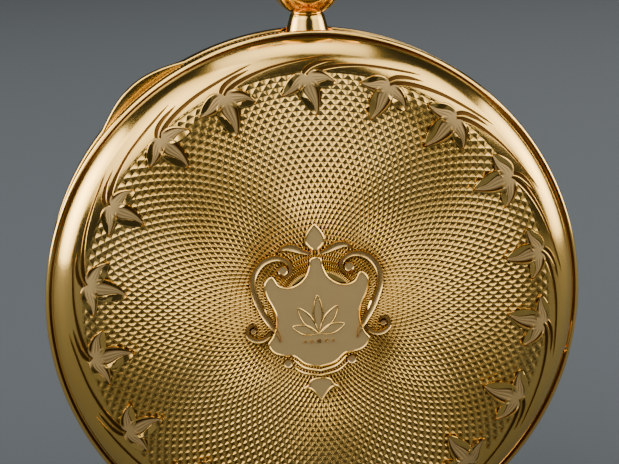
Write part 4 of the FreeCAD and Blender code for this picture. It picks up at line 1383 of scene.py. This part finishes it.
@dataclass
class Dial:
    """White enamel dial, its printing, the sunk seconds dial and the hands."""

    radius: float = 21.1
    face: float = 2.6
    under: float = 3.1
    seconds_r: float = 4.6
    seconds_face: float = 2.85
    numeral_r: float = 16.2
    numeral: float = 3.3
    track_r: float = 19.2

    def __post_init__(self) -> None:
        """Read where the seconds dial sits."""
        self.seconds_y = Extent.of("seconds_dial").middle.y

    def build(self) -> None:
        """Build and place the dial, its printing and the hands."""
        self.build_faces()
        self.build_printing()
        self.build_hands()

    def build_faces(self) -> None:
        """The main dial, cut round the sunk seconds dial, and the seconds dial."""
        profile = Profile(1.3, self.face + 0.05).curve((1.32, self.face), (1.45, self.face), 3)
        profile.line(self.radius - 0.3, self.face, 12)
        profile.curve((self.radius, self.face), (self.radius, self.face + 0.3), 5)
        profile.line(self.radius, self.under).line(1.3, self.under)
        bm = lathe(profile, 192)
        dial = Piece("dial_face", "case", "enamel", Finish.ENAMEL, ("dial",)).place(bm)
        drill(dial, rod(Vector((0, self.seconds_y, 1)), Vector((0, self.seconds_y, 5)), self.seconds_r, 96))
        small = Profile(0.3, self.seconds_face).line(self.seconds_r - 0.35, self.seconds_face, 4)
        small.curve((self.seconds_r, self.seconds_face), (self.seconds_r, self.face + 0.08), 4)
        small.line(self.seconds_r, self.under).line(0.3, self.under)
        bm = lathe(small, 96)
        bmesh.ops.translate(bm, vec=(0, self.seconds_y, 0), verts=bm.verts[:])
        Piece("seconds_dial_face", "case", "enamel", Finish.ENAMEL, ("seconds_dial",)).place(bm)

    def build_printing(self) -> None:
        """Numerals, minute track and seconds track, a hair above the enamel."""
        bm = bmesh.new()
        for hour in range(1, 13):
            turn = hour * 30
            if hour != 6:
                self.print_text(bm, str(hour), turn, self.numeral_r, self.numeral)
        for minute in range(60):
            length, width = (1.0, 0.28) if minute % 5 == 0 else (0.6, 0.09)
            self.print_bar(bm, (0, 0), minute * 6, self.track_r, length, width, self.face)
            length, width = (0.7, 0.12) if minute % 15 == 0 else (0.4, 0.06)
            self.print_bar(bm, (0, self.seconds_y), minute * 6, self.seconds_r - 0.95, length, width,
                           self.seconds_face)
        for centre, radius, level in (((0, 0), self.track_r + 0.55, self.face),
                                      ((0, 0), self.track_r - 0.55, self.face),
                                      ((0, self.seconds_y), self.seconds_r - 0.7, self.seconds_face)):
            line = Profile(radius - 0.03, level - 0.012).line(radius + 0.03, level - 0.012)
            line.line(radius + 0.03, level + 0.02).line(radius - 0.03, level + 0.02)
            ring = lathe(line, 180)
            bmesh.ops.translate(ring, vec=(*centre, 0), verts=ring.verts[:])
            merge(bm, ring)
        Piece("dial_printing", "case", "enamel", Finish.PRINT).place(bm)

    def print_bar(self, bm: bmesh.types.BMesh, centre: Point, turn: float, radius: float, length: float,
                  width: float, level: float) -> None:
        """Print one bar of a track.

        Args:
            bm: the printing.
            centre: middle of the track.
            turn: degrees clockwise from 12 as the dial is read.
            radius: middle of the bar.
            length: along the radius.
            width: across it.
            level: height of the enamel.
        """
        made = bmesh.ops.create_cube(bm, size=1)["verts"]
        size = Matrix.Diagonal((width, length, 0.03, 1))
        spin = Matrix.Rotation(math.radians(turn), 4, "Z")
        spot = Matrix.Translation((*centre, level)) @ spin @ Matrix.Translation((0, radius, 0))
        bmesh.ops.transform(bm, matrix=spot @ size, verts=made)

    def print_text(self, bm: bmesh.types.BMesh, text: str, turn: float, radius: float, size: float) -> None:
        """Print one upright numeral.

        Args:
            bm: the printing.
            text: the numeral.
            turn: degrees clockwise from 12 as the dial is read.
            radius: how far out its middle is.
            size: its height.
        """
        curve = bpy.data.curves.new("numeral", "FONT")
        curve.body, curve.size, curve.align_x, curve.align_y = text, size, "CENTER", "CENTER"
        curve.extrude, curve.resolution_u, curve.space_character = 0.015, 6, 0.9
        holder = bpy.data.objects.new("numeral", curve)
        bpy.context.scene.collection.objects.link(holder)
        bpy.context.view_layer.update()
        mesh = bpy.data.meshes.new_from_object(holder.evaluated_get(bpy.context.evaluated_depsgraph_get()))
        spot = polar(radius, 90 + turn)
        flip = Matrix.Rotation(math.pi, 4, "Y")
        mesh.transform(Matrix.Translation((spot.x, spot.y, self.face)) @ flip)
        bm.from_mesh(mesh)
        bpy.data.objects.remove(holder)
        bpy.data.curves.remove(curve)
        bpy.data.meshes.remove(mesh)

    def build_hands(self) -> None:
        """Blued hands with a ridge down the middle."""
        minute = [(-3.0, 0.34), (-1.2, 0.22), (0, 0.25), (5, 0.42), (11.5, 0.30), (14.4, 0.13), (15.6, 0.02)]
        hour = [(0, 0.35), (4.5, 0.52), (6.6, 0.34), (7.3, 0.85), (8.4, 1.0), (9.5, 0.4), (10.6, 0.02)]
        second = [(-1.3, 0.14), (-0.7, 0.07), (0, 0.08), (2.4, 0.06), (3.7, 0.015)]
        centre, small = Vector((0, 0, 0)), Vector((0, self.seconds_y, 0))
        self.hand("minute_hand", "minute_hand", minute, centre, 1.0, 0.68, (1.55, 1.7), 60)
        self.hand("hour_hand", "hour_hand", hour, centre, 1.5, 1.05, (1.95, 2.1), 305)
        self.hand("seconds_hand", "fourth", second, small, 0.45, 0.15, (2.2, 2.35), 150)

    def hand(self, node: str, body: str, outline: Sequence[Point], centre: Vector, boss: float, bore: float,
             levels: Point, turn: float) -> None:
        """Build one hand.

        Args:
            node: the CAD node it stands for.
            body: the body it rides on.
            outline: (distance along the hand, half width).
            centre: where it turns.
            boss: radius of the boss.
            bore: radius of the hole.
            levels: its two faces' heights.
            turn: degrees clockwise from 12 as the dial is read.
        """
        bm = bmesh.new()
        track = Track([(0, along, half) for along, half in outline])
        cuts, marks = 40, (-1, 0, 1)
        made = bmesh.ops.create_grid(bm, x_segments=cuts, y_segments=2, size=0.5)["verts"]
        for vert in made:
            along, across = round((vert.co.x + 0.5) * cuts), round((vert.co.y + 0.5) * 2)
            middle, _, half = track.frame(along / cuts)
            rise = levels[0] + 0.01 if marks[across] == 0 else levels[0] + 0.07
            vert.co = Vector((marks[across] * half, middle.y, rise))
        bmesh.ops.solidify(bm, geom=bm.faces[:], thickness=levels[1] - levels[0] - 0.08)
        inside = [vert for vert in bm.verts if math.hypot(vert.co.x, vert.co.y) < bore]
        bmesh.ops.delete(bm, geom=inside, context="VERTS")
        bmesh.ops.holes_fill(bm, edges=[edge for edge in bm.edges if edge.is_boundary])
        ring = Profile(bore, levels[0] + 0.03).line(bore + 0.05, levels[0]).line(boss - 0.08, levels[0])
        ring.curve((boss, levels[0]), (boss, levels[0] + 0.07), 3).line(boss, levels[1]).line(bore, levels[1])
        merge(bm, lathe(ring, 64))
        face_out(bm)
        spin = Matrix.Translation(centre) @ Matrix.Rotation(math.radians(turn), 4, "Z")
        bmesh.ops.transform(bm, matrix=spin, verts=bm.verts[:])
        Piece(f"{node}_blued", body, "blued_steel", Finish.BLUED, (node,)).place(bm)


# ------------------------------------------------------------------ movement

@dataclass
class Movement:
    """The movement's own CAD pieces, given their finishes."""

    finishes: dict[str, Finish] = field(default_factory=lambda: {
        "case_gold": Finish.CASE, "hinge_gold": Finish.PINS, "crystal": Finish.CRYSTAL,
        "enamel": Finish.ENAMEL, "blued_steel": Finish.BLUED, "plate_nickel": Finish.PLATE,
        "wheel_brass": Finish.WHEEL, "bright_steel": Finish.STEEL, "ruby": Finish.RUBY})

    def dress(self) -> None:
        """Give every CAD piece the finish of its material slot."""
        slots = {part["node"]: part["material_slot"] for part in frame["record"]["subparts"]}
        for name, thing in frame["nodes"].items():
            finish = self.finishes[slots[name]]
            for slot in thing.material_slots:
                slot.material = finish.material
            LOG.info("%s: %s", name, finish.value.name)


# ------------------------------------------------------------------ studio

@dataclass
class Studio:
    """Floor, soft lights and the camera."""

    aim: Vector = field(default_factory=lambda: Vector((-0.0004, -0.0088, 0.0062)))
    azimuth: float = -5.9
    elevation: float = 11.4
    roll: float = 1.0
    distance: float = 0.191
    frame_width: float = 0.0575
    sensor: float = 36.0
    reach: float = 1.6
    glow_colour: tuple = (1.0, 0.95, 0.86)

    def build(self) -> None:
        """Set up the studio."""
        self.build_floor()
        self.build_world()
        self.build_lights()
        self.build_camera()

    def build_floor(self) -> None:
        """A plain pale floor just under the case."""
        bm = bmesh.new()
        bmesh.ops.create_grid(bm, x_segments=1, y_segments=1, size=3)
        mesh = bpy.data.meshes.new("floor")
        bm.to_mesh(mesh)
        bm.free()
        mesh.transform(Matrix.Translation((0, 0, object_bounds()[0].z - 0.0002)))
        mesh.materials.append(Finish.FLOOR.material)
        floor = bpy.data.objects.new("floor", mesh)
        bpy.context.scene.collection.objects.link(floor)
        floor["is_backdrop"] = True

    @staticmethod
    def build_world() -> None:
        """A dim even surround."""
        world = bpy.data.worlds.new("studio")
        world.use_nodes = True
        world.node_tree.nodes["Background"].inputs["Color"].default_value = (0.46, 0.52, 0.56, 1)
        world.node_tree.nodes["Background"].inputs["Strength"].default_value = 0.06
        bpy.context.scene.world = world

    def build_lights(self) -> None:
        """Soft boxes above and to both sides, and one for the dial side.

        Each has its direction, its width against its distance, its glow and its spread in degrees.
        """
        lamps = (("key_left", (-0.50, -0.55, 0.62), 0.95, 0.76, 80),
                 ("key_right", (0.60, -0.50, 0.62), 0.70, 0.70, 80),
                 ("top", (0.0, -0.05, 1.0), 0.80, 0.62, 80),
                 ("side_left", (-1.0, 0.0, 0.30), 0.80, 1.1, 60),
                 ("side_right", (1.0, 0.0, 0.30), 0.70, 0.85, 60),
                 ("dial_side", (0.25, 0.70, 0.45), 0.4, 0.5, 80))
        for name, towards, width, glow, spread in lamps:
            lamp = bpy.data.lights.new(name, "AREA")
            lamp.size, lamp.color, lamp.spread = width * self.reach, self.glow_colour, math.radians(spread)
            lamp.energy = glow * math.pi * lamp.size ** 2
            spot = Vector(towards).normalized() * self.reach
            thing = bpy.data.objects.new(name, lamp)
            thing.location = spot
            thing.rotation_euler = (self.aim - Vector(spot)).to_track_quat("-Z", "Y").to_euler()
            bpy.context.scene.collection.objects.link(thing)

    def build_camera(self) -> None:
        """A long lens, a little high and to the left of the engraved back."""
        turn, rise = math.radians(self.azimuth), math.radians(self.elevation)
        back = Vector((math.sin(turn) * math.cos(rise), -math.cos(turn) * math.cos(rise), math.sin(rise)))
        camera = bpy.data.cameras.new("camera")
        camera.sensor_width = self.sensor
        camera.lens = self.sensor * self.distance / self.frame_width
        camera.clip_start = 0.01
        thing = bpy.data.objects.new("camera", camera)
        thing.location = self.aim + back * self.distance
        roll = Matrix.Rotation(math.radians(self.roll), 3, "Z")
        thing.rotation_euler = ((-back).to_track_quat("-Z", "Y").to_matrix() @ roll.inverted()).to_euler()
        bpy.context.scene.collection.objects.link(thing)
        bpy.context.scene.camera = thing


def main() -> None:
    """Build the watch piece by piece, then the studio, and note the sizes."""
    Movement().dress()
    for part in (BackCover(), CaseBand(), Bezel(), DustCover(), Pendant(), Dial()):
        part.build()
    Studio().build()


if __name__ == "__main__":
    logging.basicConfig(level=logging.INFO, format="%(message)s")
    main()
